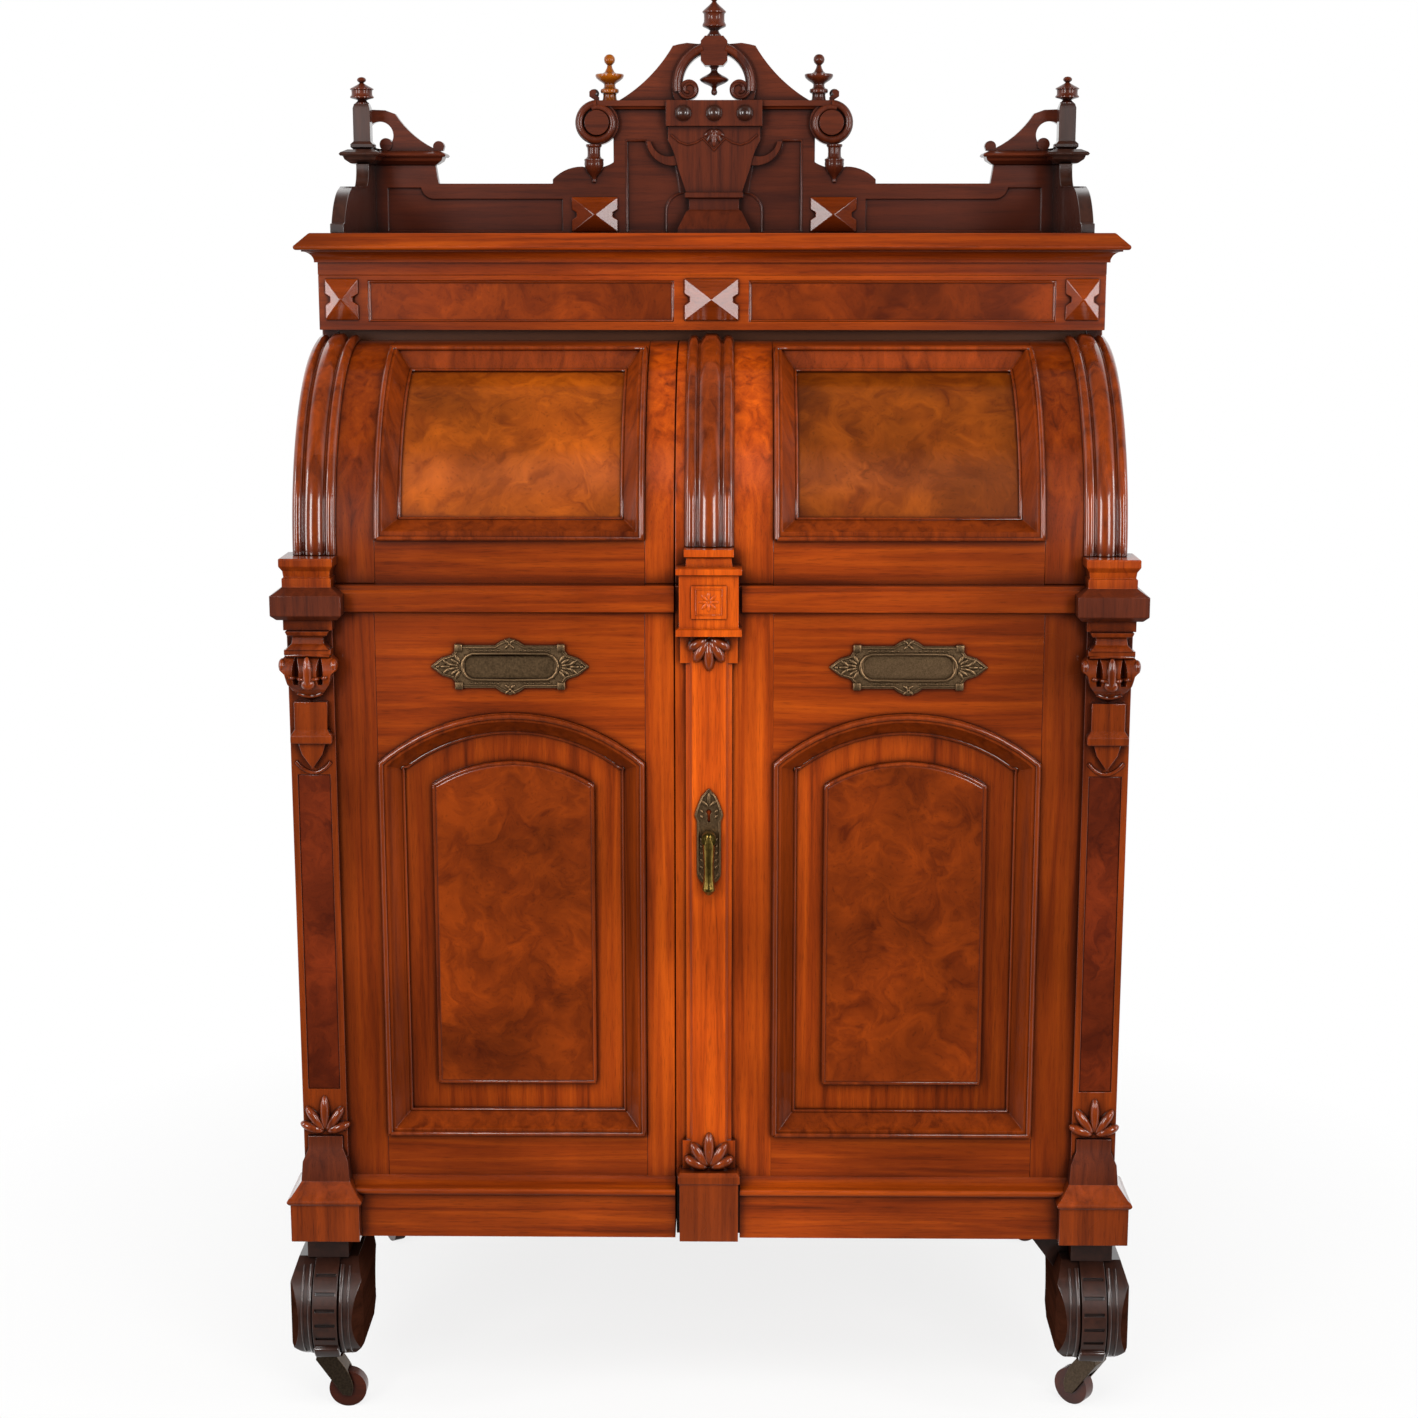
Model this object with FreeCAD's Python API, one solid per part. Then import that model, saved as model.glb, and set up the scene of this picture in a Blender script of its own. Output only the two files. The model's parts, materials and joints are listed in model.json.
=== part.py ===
import FreeCAD, Part
import math
import os

# Cabinet secretary desk in millimetres: +Z up, the front towards -Y, origin on the floor under its middle.
# A case on two trestle ends is closed by two deep box doors with quarter-round tops, under a carved gallery.

# Case and doors, depths counted back from the face of the doors
HALF_WIDTH = 519.0
DOOR_DEPTH = 272.0
DOOR_GAP = 3.6
CASE_DEPTH = 376.4
FOOT_REACH = 40.0
SIDE_T = 22.0
BOARD_T = 12.0
FRAME_T = 20.0
PANEL_T = 10.0
BACK_T = 12.0
BACK_STILE = 80.0
BACK_RAIL = 90.0

# Levels above the floor, and heights counted from them
CASE_Z = 254.0
UNDER_DOOR_GAP = 3.0
PLINTH_H = 83.0
FOOT_RAIL_H = 55.0
WAIST_TOP = 1114.0
WAIST_H = 35.0
ARCH_BELOW = 161.0
ARCH_RISE = 64.0
SPRING_RISE = 36.0

# Door frames and panels
MEET_STILE = 80.5
OUTER_STILE = 101.5
BURL_INSET = 67.0
BURL_RAISE = 8.0
BEAD_PROUD = 6.0
MOULD_W = 33.0
MOULD_FALL = ((0.27, -0.1), (0.42, 0.22), (0.66, 0.6), (1.0, 1.1))
LAP = 10.0
FIELD_SINK = 8.0
FIELD_BEVEL = 18.0
FIELD_MARGIN = 60.0
DOOR_FIELD_FRONT = 75.0
DOOR_FIELD_BACK = 235.0

# Quarter-round tops
AXIS_DEPTH = 268.0
FRAME_R = 254.0
REED_PROUD = 10.0
REED_SWEEP = 88.0
UPPER_RISE = 19.0
UPPER_TOP_ANGLE = 75.0

# Corner posts and centre pilaster
POST_LAP = 49.5
POST_OUT = 7.5
POST_PROUD = 18.0
POST_BASE_PROUD = 8.0
STRIP_SINK = 4.0
STRIP_MARGIN = 8.0
PILASTER_HALF = 29.0
PILASTER_PROUD = 14.0
PILASTER_HEAD = 47.0
PILASTER_HEAD_HALF = 41.0
PLINTH_BLOCK_HALF = 40.0
MEET_X = -43.0
MEET_GAP = 1.2
MEET_WALL = 16.0
PLINTH_PROUD = 14.0
TRIM_PROUD = 5.0

# Frieze and cornice
FRIEZE_GAP = 4.0
FRIEZE_H = 72.0
FRIEZE_T = 21.0
FRIEZE_MIDDLE = 50.0
FRIEZE_END = 66.0
FRIEZE_MARGIN = 11.0
FRIEZE_SINK = 9.0
NAILHEAD_T = 3.0
NAILHEAD_PROUD = 14.0
CORNICE_H = 54.0
CORNICE_REACH = 27.0
TOP_T = 22.0

# Gallery, heights above the top of the cornice
GALLERY_BACK = 590.0
GALLERY_T = 18.0
RAIL_H = 70.0
PIER_H = 96.0
PIER_W = 110.0
PIER_IN = 7.0
PIER_CAP_H = 20.0
CREST_HALF = 145.0
CREST_H = 174.0
CAP_H = 12.0
VOLUTE_X = 168.0
VOLUTE_R = 31.0
EYE_R = 17.5
PEDIMENT_H = 266.0
KEY_BLOCK_H = 275.0
FINIAL_H = 62.0
KEY_BLOCK_SIDE = 41.0
KEYSTONE_PROUD = 20.0
SIDE_FRONT = 284.0
SIDE_IN = 13.0
CORNER_POST_IN = 18.0
CORNER_POST_DEPTH = 560.0
CORNER_POST_H = 64.0
CORNER_FINIAL_H = 37.5
TURN_SIDES = 12

# Case interior
FLOOR_T = 20.0
DRAWER_BAY_W = 385.0
DRAWER_CLEAR = 1.5
DRAWER_SEAT = 0.3
DRAWER_DEPTH = 320.0
DRAWER_FRONT_T = 18.0
DRAWER_WALL_T = 10.0
DRAWER_BOTTOM_T = 7.0
DRAWER_HEAD_CLEAR = 2.0
KNOB_R = 12.0
KNOB_REACH = 17.0
BAY_H = 265.0
WRITING_H = 505.0
RACK_H = 701.0
DUST_T = 8.0
DOOR_FLOOR_T = 16.0
LID_T = 20.0
LID_CLEAR = 2.0
HEAD_BELOW = 26.0
NICHE_RISE = 229.0
NICHE_STEP = 200.0
NICHE_BACK = 40.0
LEDGER_SLOTS = 5
DIVIDER_T = 8.0
LID_STILE = 70.0
LID_SINK = 6.0
LEATHER_IN = 40.0
LEATHER_T = 1.5

# Hinges, lock and letter plates
HINGE_INSET = 93.0
HINGE_H = 90.0
HINGE_LEAF = 20.0
LEAF_T = 1.6
KNUCKLE_R = 5.0
KNUCKLE_OUT = 5.2
KNUCKLE_GAP = 0.3
PIN_R = 2.5
RUNNING_FIT = 0.05
LEVER_RISE = 38.0
LEVER_DROP = 72.0
LEVER_HUB = 16.0
HUB_R = 9.0
LEVER_CLEAR = 0.4
SPINDLE_R = 4.0
SPINDLE_IN = 13.0
SPINDLE_CLEAR = 0.3
LOCK_CASE_T = 18.0
LOCK_PLATE_T = 3.0
KEYHOLE_R = 3.6
LETTER_BELOW = 102.0
LETTER_W = 198.0
LETTER_H = 72.0
WINDOW_W = 112.0
WINDOW_H = 30.0
LETTER_PLATE_T = 4.0
FLAP_T = 1.6
FLAP_PIN_R = 1.2
FLAP_PIN_REACH = 4.0
FLAP_CLEAR = 0.6

# Trestle ends and casters
FOOT_OUT = 31.0
FOOT_W = 95.0
FOOT_R = 70.0
FOOT_BOTTOM = 76.0
FOOT_BEVEL = 14.0
BEAM_H = 36.0
BEAM_W = 54.0
STRAP_W = 32.0
STRAP_PROUD = 5.0
BRACE_W = 52.0
BRACE_T = 24.0
BATTEN_T = 12.0
WHEEL_R = 25.0
WHEEL_W = 17.0
WHEEL_SIDES = 24
CHEEK_T = 4.5
WHEEL_CLEAR = 1.0
CASTER_TRAIL = 27.0
CASTER_SIDE = 8.0
CASTER_IN = 66.0
STEM_R = 6.0
STEM_LEN = 34.0
SEAT_DEPTH = 2.0
SEAT_CLEAR = 0.4
AXLE_R = 3.0
CASTER_TURN = {"front_left": 0.0, "front_right": 140.0, "rear_left": 300.0, "rear_right": 205.0}

# Places worked out from the sizes above
BACK_DEPTH = DOOR_DEPTH + DOOR_GAP + CASE_DEPTH
FACE_Y = (FOOT_REACH - BACK_DEPTH) / 2
BACK_Y = FACE_Y + BACK_DEPTH
DOOR_BACK_Y = FACE_Y + DOOR_DEPTH
CASE_Y = DOOR_BACK_Y + DOOR_GAP
DOOR_Z = CASE_Z + UNDER_DOOR_GAP
PLINTH_TOP = CASE_Z + PLINTH_H
PANEL_Z = PLINTH_TOP + FOOT_RAIL_H
WAIST_Z = WAIST_TOP - WAIST_H
ARCH_TOP = WAIST_TOP - ARCH_BELOW
SPRING_Z = WAIST_TOP + SPRING_RISE
INNER = HALF_WIDTH - SIDE_T
OPEN_X0 = MEET_STILE
OPEN_X1 = HALF_WIDTH - OUTER_STILE
OPEN_C = (OPEN_X0 + OPEN_X1) / 2
OPEN_HALF = (OPEN_X1 - OPEN_X0) / 2
POST_X0 = HALF_WIDTH - POST_LAP
POST_X1 = HALF_WIDTH + POST_OUT
POST_C = (POST_X0 + POST_X1) / 2
POST_Y = FACE_Y - POST_BASE_PROUD
ARCH_R = (OPEN_HALF ** 2 + ARCH_RISE ** 2) / (2 * ARCH_RISE)
ARCH_CZ = ARCH_TOP - ARCH_R
AXIS_Y = FACE_Y + AXIS_DEPTH
UPPER_Y = AXIS_Y - FRAME_R
REED_R = FRAME_R + REED_PROUD
UPPER_A0 = math.degrees(math.asin(UPPER_RISE / FRAME_R))
FRIEZE_Z = SPRING_Z + REED_R + FRIEZE_GAP
FRIEZE_Y = CASE_Y - FRIEZE_T
FRIEZE_TOP = FRIEZE_Z + FRIEZE_H
FRIEZE_X0 = FRIEZE_MIDDLE
FRIEZE_X1 = HALF_WIDTH - FRIEZE_END
TOP_Z = FRIEZE_TOP + CORNICE_H
GALLERY_Y = FACE_Y + GALLERY_BACK
PIER_X1 = HALF_WIDTH - PIER_IN
PIER_X0 = PIER_X1 - PIER_W
SIDE_X1 = HALF_WIDTH - SIDE_IN
SIDE_X0 = SIDE_X1 - GALLERY_T
CORNER_POST_X = HALF_WIDTH - CORNER_POST_IN
CREST_TOP = TOP_Z + CREST_H
SHELF_LOW = CASE_Z + BAY_H
SHELF_MID = CASE_Z + WRITING_H
SHELF_HIGH = CASE_Z + RACK_H
CASE_HEAD_Z = FRIEZE_Z - HEAD_BELOW
DRAWER_X0 = -INNER
DRAWER_X1 = DRAWER_X0 + DRAWER_BAY_W
LID_Z = SHELF_MID + BOARD_T
NICHE_LEVELS = (LID_Z + NICHE_RISE, LID_Z + NICHE_RISE + NICHE_STEP)
HINGE_X = HALF_WIDTH + KNUCKLE_OUT
HINGE_Y = (DOOR_BACK_Y + CASE_Y) / 2
HINGE_LEVELS = (PLINTH_TOP + HINGE_INSET, WAIST_Z - HINGE_INSET - HINGE_H)
LEVER_Z = SHELF_MID + LEVER_RISE
LETTER_X = OPEN_C
LETTER_Z = WAIST_TOP - LETTER_BELOW
FLAP_AXIS_Z = LETTER_Z + WINDOW_H / 2 - 3.0
FLAP_AXIS_Y = FACE_Y - LETTER_PLATE_T / 2
PILASTER_Y = FACE_Y - PILASTER_PROUD
FOOT_X1 = HALF_WIDTH + FOOT_OUT
FOOT_X0 = FOOT_X1 - FOOT_W
FOOT_C = (FOOT_X0 + FOOT_X1) / 2
FOOT_FRONT = FACE_Y - FOOT_REACH
BEAM_X0 = FOOT_C - BEAM_W / 2
BEAM_X1 = FOOT_C + BEAM_W / 2
CASTER_X = HALF_WIDTH - CASTER_SIDE
STEM_Y = FOOT_FRONT + CASTER_IN


def vec(x, y, z):
    return FreeCAD.Vector(x, y, z)


def box(x0, x1, y0, y1, z0, z1):
    return Part.makeBox(x1 - x0, y1 - y0, z1 - z0, vec(x0, y0, z0))


def at_y(y):
    """Plane across the front, for (x, z) points."""
    return lambda x, z: vec(x, y, z)


def at_x(x):
    """Plane across the side, for (y, z) points."""
    return lambda y, z: vec(x, y, z)


def at_z(z):
    """Level plane, for (x, y) points."""
    return lambda x, y: vec(x, y, z)


def segment(start, through, end):
    if through is None:
        return Part.makeLine(start, end)
    return Part.Arc(start, through, end).toShape()


def runs(start, steps):
    """Splits an outline into (start, through, end) runs; a step is a point or a (through, end) pair."""
    here = start
    for step in steps:
        arc = isinstance(step[0], tuple)
        through, end = step if arc else (None, step)
        if end != here:
            yield here, through, end
        here = end


def outline(plane, start, *steps):
    """Flat face with the given corners; a (through, end) pair stands for an arc."""
    edges = []
    for a, through, b in runs(start, [*steps, start]):
        edges.append(segment(plane(*a), through and plane(*through), plane(*b)))
    return Part.Face(Part.Wire(edges))


def flip(shape):
    return shape.mirror(vec(0, 0, 0), vec(1, 0, 0))


def both_sides(shapes):
    return [*shapes, *[flip(shape) for shape in shapes]]


def flat(points):
    return Part.Face(Part.makePolygon([*points, points[0]]))


def turned(x, y, z, *points, sides=TURN_SIDES):
    """Turned piece on an upright axis, drawn with flats round it, from (radius, height) points."""
    turns = [math.tau * (i + 0.5) / sides for i in range(sides)]
    rings = [[vec(x + r * math.cos(a), y + r * math.sin(a), z + h) for a in turns] for r, h in points]
    faces = [flat(rings[0]), flat(rings[-1])]
    for low, high in zip(rings, rings[1:]):
        for i in range(sides):
            faces.append(flat([low[i - 1], low[i], high[i], high[i - 1]]))
    return Part.Solid(Part.Shell(faces))


def across_flats(radius, sides=TURN_SIDES):
    """Corner radius of a turned form whose flats lie at the given radius."""
    return radius / math.cos(math.pi / sides)


def turned_out(x, y, z, *points, sides=TURN_SIDES):
    """Turned piece that stands out from an upright face towards the front."""
    piece = turned(0, 0, 0, *points, sides=sides)
    piece.rotate(vec(0, 0, 0), vec(1, 0, 0), 90)
    piece.translate(vec(x, y, z))
    return piece


def silhouette(plane, low, high, start, steps):
    """Face whose two sides follow one moulding, drawn from the bottom up in (outward, level) points."""
    right = list(runs(start, steps))
    top = right[-1][2]
    edges = [Part.makeLine(plane(low - start[0], start[1]), plane(high + start[0], start[1]))]
    edges.append(Part.makeLine(plane(low - top[0], top[1]), plane(high + top[0], top[1])))
    for a, through, b in right:
        for edge, sign in ((high, 1), (low, -1)):
            ends = [p and plane(edge + sign * p[0], p[1]) for p in (a, through, b)]
            edges.append(segment(*ends))
    return Part.Face(Part.Wire(Part.__sortEdges__(edges)))


def moulded_block(x0, x1, y0, y1, start, *steps):
    """Block on a rectangular plan whose four sides follow one mitred moulding."""
    reach = max(x1 - x0, y1 - y0) + 200
    across = silhouette(at_y(y0 - reach), x0, x1, start, steps).extrude(vec(0, y1 - y0 + 2 * reach, 0))
    along = silhouette(at_x(x0 - reach), y0, y1, start, steps).extrude(vec(x1 - x0 + 2 * reach, 0, 0))
    return across.common(along).Solids[0]


def on_curve(radius, angle):
    """Point on the quarter-round section, as (y, z); angle in degrees above the spring."""
    a = math.radians(angle)
    return AXIS_Y - radius * math.cos(a), SPRING_Z + radius * math.sin(a)


def around_curve(face, angle):
    """Sweeps a face that stands at the spring line round the axis of the quarter-round tops."""
    return face.revolve(vec(0, AXIS_Y, SPRING_Z), vec(-1, 0, 0), angle)


def spring_plane(x, r):
    return vec(x, AXIS_Y - r, SPRING_Z)


def curve_sector(x0, x1, r0, r1, a0, a1):
    """Curved slab between two radii and two angles."""
    mid = (a0 + a1) / 2
    face = outline(at_x(x0), on_curve(r0, a0), on_curve(r1, a0), (on_curve(r1, mid), on_curve(r1, a1)),
                   on_curve(r0, a1), (on_curve(r0, mid), on_curve(r0, a0)))
    return face.extrude(vec(x1 - x0, 0, 0))


def curve_shell(x0, x1):
    """Upright at the waist, then a quarter round up to the frieze."""
    outer, inner = FRAME_R, FRAME_R - FRAME_T
    face = outline(at_x(x0), (UPPER_Y, WAIST_TOP), on_curve(outer, 0),
                   (on_curve(outer, 45), on_curve(outer, 90)), on_curve(inner, 90),
                   (on_curve(inner, 45), on_curve(inner, 0)), (UPPER_Y + FRAME_T, WAIST_TOP))
    return face.extrude(vec(x1 - x0, 0, 0))


def door_core():
    """Room taken by a door's front frame, which applied corner pieces are cut to."""
    low = box(MEET_X, HALF_WIDTH, FACE_Y, CASE_Y, 0, WAIST_TOP)
    high = box(MEET_X, HALF_WIDTH, UPPER_Y, CASE_Y, WAIST_TOP, SPRING_Z + FRAME_R)
    return low.fuse(high)


def arch_face(inset, y):
    """Outline of the lower door panel, drawn in by an inset that keeps the arch concentric."""
    half = OPEN_HALF - inset
    radius = ARCH_R - inset
    spring = ARCH_CZ + math.sqrt(radius ** 2 - half ** 2)
    foot = PANEL_Z + inset
    return outline(at_y(y), (OPEN_C - half, foot), (OPEN_C + half, foot), (OPEN_C + half, spring),
                   ((OPEN_C, ARCH_CZ + radius), (OPEN_C - half, spring)))


def arch_prism(inset, y0, y1):
    return arch_face(inset, y0).extrude(vec(0, y1 - y0, 0))


def door_stiles(meet):
    """Upright frame members: straight below the waist, bent to the quarter round above it."""
    solids = []
    for x0, x1 in ((meet, OPEN_X0), (OPEN_X1, HALF_WIDTH)):
        solids.append(box(x0, x1, FACE_Y, FACE_Y + FRAME_T, DOOR_Z, WAIST_TOP))
        solids.append(curve_shell(x0, x1))
    return solids


def letter_slot():
    """Way through the head rail behind a letter plate, with room for the flap to swing."""
    half = WINDOW_W / 2 + 3
    return box(LETTER_X - half, LETTER_X + half, FACE_Y - 1, FACE_Y + FRAME_T + 1,
               LETTER_Z - WINDOW_H / 2 - 2, LETTER_Z + WINDOW_H / 2 + 2)


def door_rails(meet, slotted):
    """Cross members, plinth board and waist band."""
    foot = box(OPEN_X0, OPEN_X1, FACE_Y, FACE_Y + FRAME_T, DOOR_Z, PANEL_Z)
    head = box(OPEN_X0, OPEN_X1, FACE_Y, FACE_Y + FRAME_T, ARCH_TOP - ARCH_RISE, WAIST_TOP)
    head = head.cut(arch_prism(0, FACE_Y - 1, FACE_Y + FRAME_T + 1))
    if slotted:
        head = head.cut(letter_slot())
    opening = curve_sector(OPEN_X0 - 1, OPEN_X1 + 1, 10, REED_R + 50, UPPER_A0, UPPER_TOP_ANGLE)
    curved = curve_shell(OPEN_X0, OPEN_X1).cut(opening).Solids
    return [foot, head, *curved, plinth_board(meet), waist_band(meet)]


def plinth_board(meet):
    """Plinth across the door front, with a rounded nosing and a cove over it."""
    x0 = max(meet, PLINTH_BLOCK_HALF)
    y, top = FACE_Y - PLINTH_PROUD, PLINTH_TOP
    face = outline(at_x(x0), (FACE_Y, DOOR_Z), (y, DOOR_Z), (y, top - 22), (y - 5, top - 20),
                   ((y - 8, top - 15.5), (y - 5, top - 11)), (y, top - 10), ((y + 6, top - 7), (FACE_Y, top)))
    return face.extrude(vec(POST_X0 - x0, 0, 0)).cut(post_foot())


def waist_band(meet):
    """Flat band across the waist with a bevelled upper edge."""
    x0 = max(meet, PILASTER_HEAD_HALF)
    y, top = FACE_Y, WAIST_TOP
    face = outline(at_x(x0), (y, WAIST_Z), (y - 8, WAIST_Z + 3), (y - 8, top - 9), (y - 4, top - 5),
                   (y - 4, top), (y, top))
    return face.extrude(vec(POST_X0 - x0, 0, 0)).cut(post_head())


def lower_moulding():
    """Bolection moulding round the arched panel: a proud bead that falls in an ogee to the field."""
    front = FACE_Y - BEAD_PROUD
    depth = BEAD_PROUD + FRAME_T
    return arch_prism(0, front, front + depth).cut(arch_loft(front, depth, MOULD_FALL))


def arch_loft(front, depth, steps):
    """Solid through arched outlines, from (share of the moulding's width, share of its depth) steps."""
    wires = [arch_face(MOULD_W * inset, front + depth * drop).OuterWire for inset, drop in steps]
    return Part.makeLoft(wires, True, True)


def front_edges(solid, y):
    """Edges of a solid that lie in its front plane."""
    return [e for e in solid.Edges if all(abs(v.Point.y - y) < 1e-6 for v in e.Vertexes)]


def upper_moulding():
    """The same moulding, bent to the quarter round."""
    a0, a1 = UPPER_A0, UPPER_TOP_ANGLE
    top, bottom = FRAME_R + BEAD_PROUD, FRAME_R - FRAME_T
    body = curve_sector(OPEN_X0, OPEN_X1, bottom, top, a0, a1)
    depth = top - bottom
    fall = [(MOULD_W * inset, top - depth * drop) for inset, drop in MOULD_FALL]
    near = [(OPEN_X0 + inset, r) for inset, r in fall]
    far = [(OPEN_X1 - inset, r) for inset, r in reversed(fall)]
    across = around_curve(outline(spring_plane, *near, *far), 90)
    turn = math.degrees(1 / FRAME_R)
    low = [on_curve(r, a0 + inset * turn) for inset, r in fall]
    high = [on_curve(r, a1 - inset * turn) for inset, r in reversed(fall)]
    far_out = [on_curve(2 * FRAME_R, a) for a in (a1, (a0 + a1) / 2, a0)]
    along = outline(at_x(OPEN_X0), *low, *high, *far_out).extrude(vec(OPEN_X1 - OPEN_X0, 0, 0))
    return body.cut(across.common(along))


def field_panel():
    """Flat field behind the lower moulding, lapped behind the frame."""
    y = FACE_Y + FRAME_T
    return box(OPEN_X0 - LAP, OPEN_X1 + LAP, y, y + PANEL_T, PANEL_Z - LAP, ARCH_TOP + LAP)


def raised_burl():
    """Arched burl panel that stands out from the field, with a bevelled edge."""
    y = FACE_Y + FRAME_T
    front = y - BURL_RAISE
    panel = arch_prism(BURL_INSET, front, y)
    return panel.makeChamfer(BURL_RAISE / 2, front_edges(panel, front))


def curved_burl():
    """Burl panel bent to the quarter round, lapped behind its frame."""
    turn = math.degrees(LAP / FRAME_R)
    r = FRAME_R - FRAME_T
    return curve_sector(OPEN_X0 - LAP, OPEN_X1 + LAP, r - PANEL_T, r, UPPER_A0 - turn, UPPER_TOP_ANGLE + turn)


def side_pocket(depth0, depth1, z0, z1):
    """Sunk field on the outside of a side board."""
    return box(HALF_WIDTH - FIELD_SINK, HALF_WIDTH + 1, FACE_Y + depth0, FACE_Y + depth1, z0, z1)


def side_burl(depth0, depth1, z0, z1):
    """Bevelled burl panel that fills a sunk field."""
    back, edge, top = HALF_WIDTH - FIELD_SINK, HALF_WIDTH - FIELD_SINK + 3, HALF_WIDTH - 1
    base = box(back, edge, FACE_Y + depth0, FACE_Y + depth1, z0, z1)
    wires = []
    for x, inset in ((edge, 0), (top, FIELD_BEVEL)):
        y0, y1 = FACE_Y + depth0 + inset, FACE_Y + depth1 - inset
        low, high = z0 + inset, z1 - inset
        wires.append(outline(at_x(x), (y0, low), (y1, low), (y1, high), (y0, high)).OuterWire)
    return base.fuse(Part.makeLoft(wires, True, True)).removeSplitter()


DOOR_SIDE_FIELD = (DOOR_FIELD_FRONT, DOOR_FIELD_BACK, PANEL_Z, WAIST_Z - FIELD_MARGIN)
CASE_FIELD_FRONT = DOOR_DEPTH + DOOR_GAP + FIELD_MARGIN
CASE_FIELD_BACK = BACK_DEPTH - FIELD_MARGIN
CASE_SIDE_FIELDS = (
    (CASE_FIELD_FRONT, CASE_FIELD_BACK, PANEL_Z, WAIST_Z - FIELD_MARGIN),
    (CASE_FIELD_FRONT, CASE_FIELD_BACK, WAIST_TOP + FIELD_MARGIN, FRIEZE_Z - FIELD_MARGIN),
    (CASE_FIELD_FRONT, CASE_FIELD_BACK, FRIEZE_Z + FRIEZE_MARGIN, FRIEZE_TOP - FRIEZE_MARGIN),
)


def door_wall(x0, x1):
    """Side wall of a door box, with the quarter-round head inside the curved frame."""
    inner = FRAME_R - FRAME_T
    front = FACE_Y + FRAME_T
    face = outline(at_x(x0), (front, DOOR_Z), (front, WAIST_TOP), (UPPER_Y + FRAME_T, WAIST_TOP),
                   on_curve(inner, 0), (on_curve(inner, 45), on_curve(inner, 90)),
                   (DOOR_BACK_Y, SPRING_Z + inner), (DOOR_BACK_Y, DOOR_Z))
    return face.extrude(vec(x1 - x0, 0, 0))


def side_trim(depth0, depth1):
    """Plinth and waist strips along a side, thin enough to pass the hinge."""
    y0, y1 = FACE_Y + depth0, FACE_Y + depth1
    x, out = HALF_WIDTH, HALF_WIDTH + TRIM_PROUD
    plinth = outline(at_y(y0), (x, DOOR_Z), (out, DOOR_Z), (out, PLINTH_TOP - 12), (x, PLINTH_TOP))
    waist = outline(at_y(y0), (x, WAIST_Z), (out, WAIST_Z + 3), (out, WAIST_TOP - 5), (x, WAIST_TOP))
    return [face.extrude(vec(0, y1 - y0, 0)) for face in (plinth, waist)]


def door_side(meet):
    """Outer side with a sunk field and trim, and the plain wall at the meeting edge."""
    outer = door_wall(INNER, HALF_WIDTH).cut(side_pocket(*DOOR_SIDE_FIELD))
    return [outer, door_wall(meet, meet + MEET_WALL), *side_trim(FIELD_MARGIN, DOOR_DEPTH)]


def door_rack(meet):
    """Floor, shelves and pigeonhole dividers inside a door box."""
    x0 = meet + MEET_WALL
    front = FACE_Y + FRAME_T + PANEL_T
    back = DOOR_BACK_Y - 2
    solids = [box(x0, INNER, FACE_Y + FRAME_T, DOOR_BACK_Y, DOOR_Z, DOOR_Z + DOOR_FLOOR_T)]
    solids += [box(x0, INNER, front, back, z, z + BOARD_T) for z in (SHELF_LOW, SHELF_MID, SHELF_HIGH)]
    for i in (1, 2):
        x = x0 + (INNER - x0) * i / 3
        solids.append(box(x - DIVIDER_T / 2, x + DIVIDER_T / 2, front, back, SHELF_MID + BOARD_T, SHELF_HIGH))
    return solids


def post_plan():
    """Sides, front and back of the square that the corner post's mouldings stand on."""
    y0 = FACE_Y - POST_PROUD
    return POST_X0, POST_X1, y0, y0 + POST_X1 - POST_X0


def post_head():
    """Waist block with its cap moulding, where the quarter round springs."""
    w, s = WAIST_TOP, SPRING_Z
    return moulded_block(*post_plan(), (2, w - 54), (2, w - 41), (9, w - 40), (15.5, w - 34), (15.5, w - 9),
                         (13, w - 8), (2, w), (2, w + 11), (0, w + 12), (1, w + 20), (5, w + 26), (5, s - 1),
                         (4, s))


def post_foot():
    """Plinth block with a bead and a tapered base."""
    p = PLINTH_TOP
    return moulded_block(*post_plan(), (16, DOOR_Z), (16, p - 30), (18, p - 29), (20, p - 26), (20, p - 24),
                         (18, p - 21), (15, p - 19), (3, p - 2), (1, p + 24), (-6, p + 40), (-6, p + 57))


def corner_post():
    """Post at the outer corner of a door: waist block, shaft with a sunk field, and plinth block."""
    head, foot, core = post_head(), post_foot(), door_core()
    shaft = box(POST_X0, POST_X1, POST_Y, post_plan()[3] - 10, PLINTH_TOP + 24, WAIST_TOP - 54)
    x0, x1, z0, z1 = strip_field()
    sunk = box(x0, x1, POST_Y - 1, POST_Y + STRIP_SINK, z0, z1)
    shaft = shaft.cut(foot).cut(sunk).cut(core)
    return [head.cut(core), foot.cut(core), *shaft.Solids, *post_console()]


def strip_field():
    """Sunk field on a corner post: its sides, foot and head."""
    return POST_X0 + STRIP_MARGIN, POST_X1 - STRIP_MARGIN, PLINTH_TOP + 120, WAIST_TOP - 240


def post_strip():
    """Burl strip in the sunk field."""
    x0, x1, z0, z1 = strip_field()
    return box(x0, x1, POST_Y + 1, POST_Y + STRIP_SINK, z0, z1)


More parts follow.
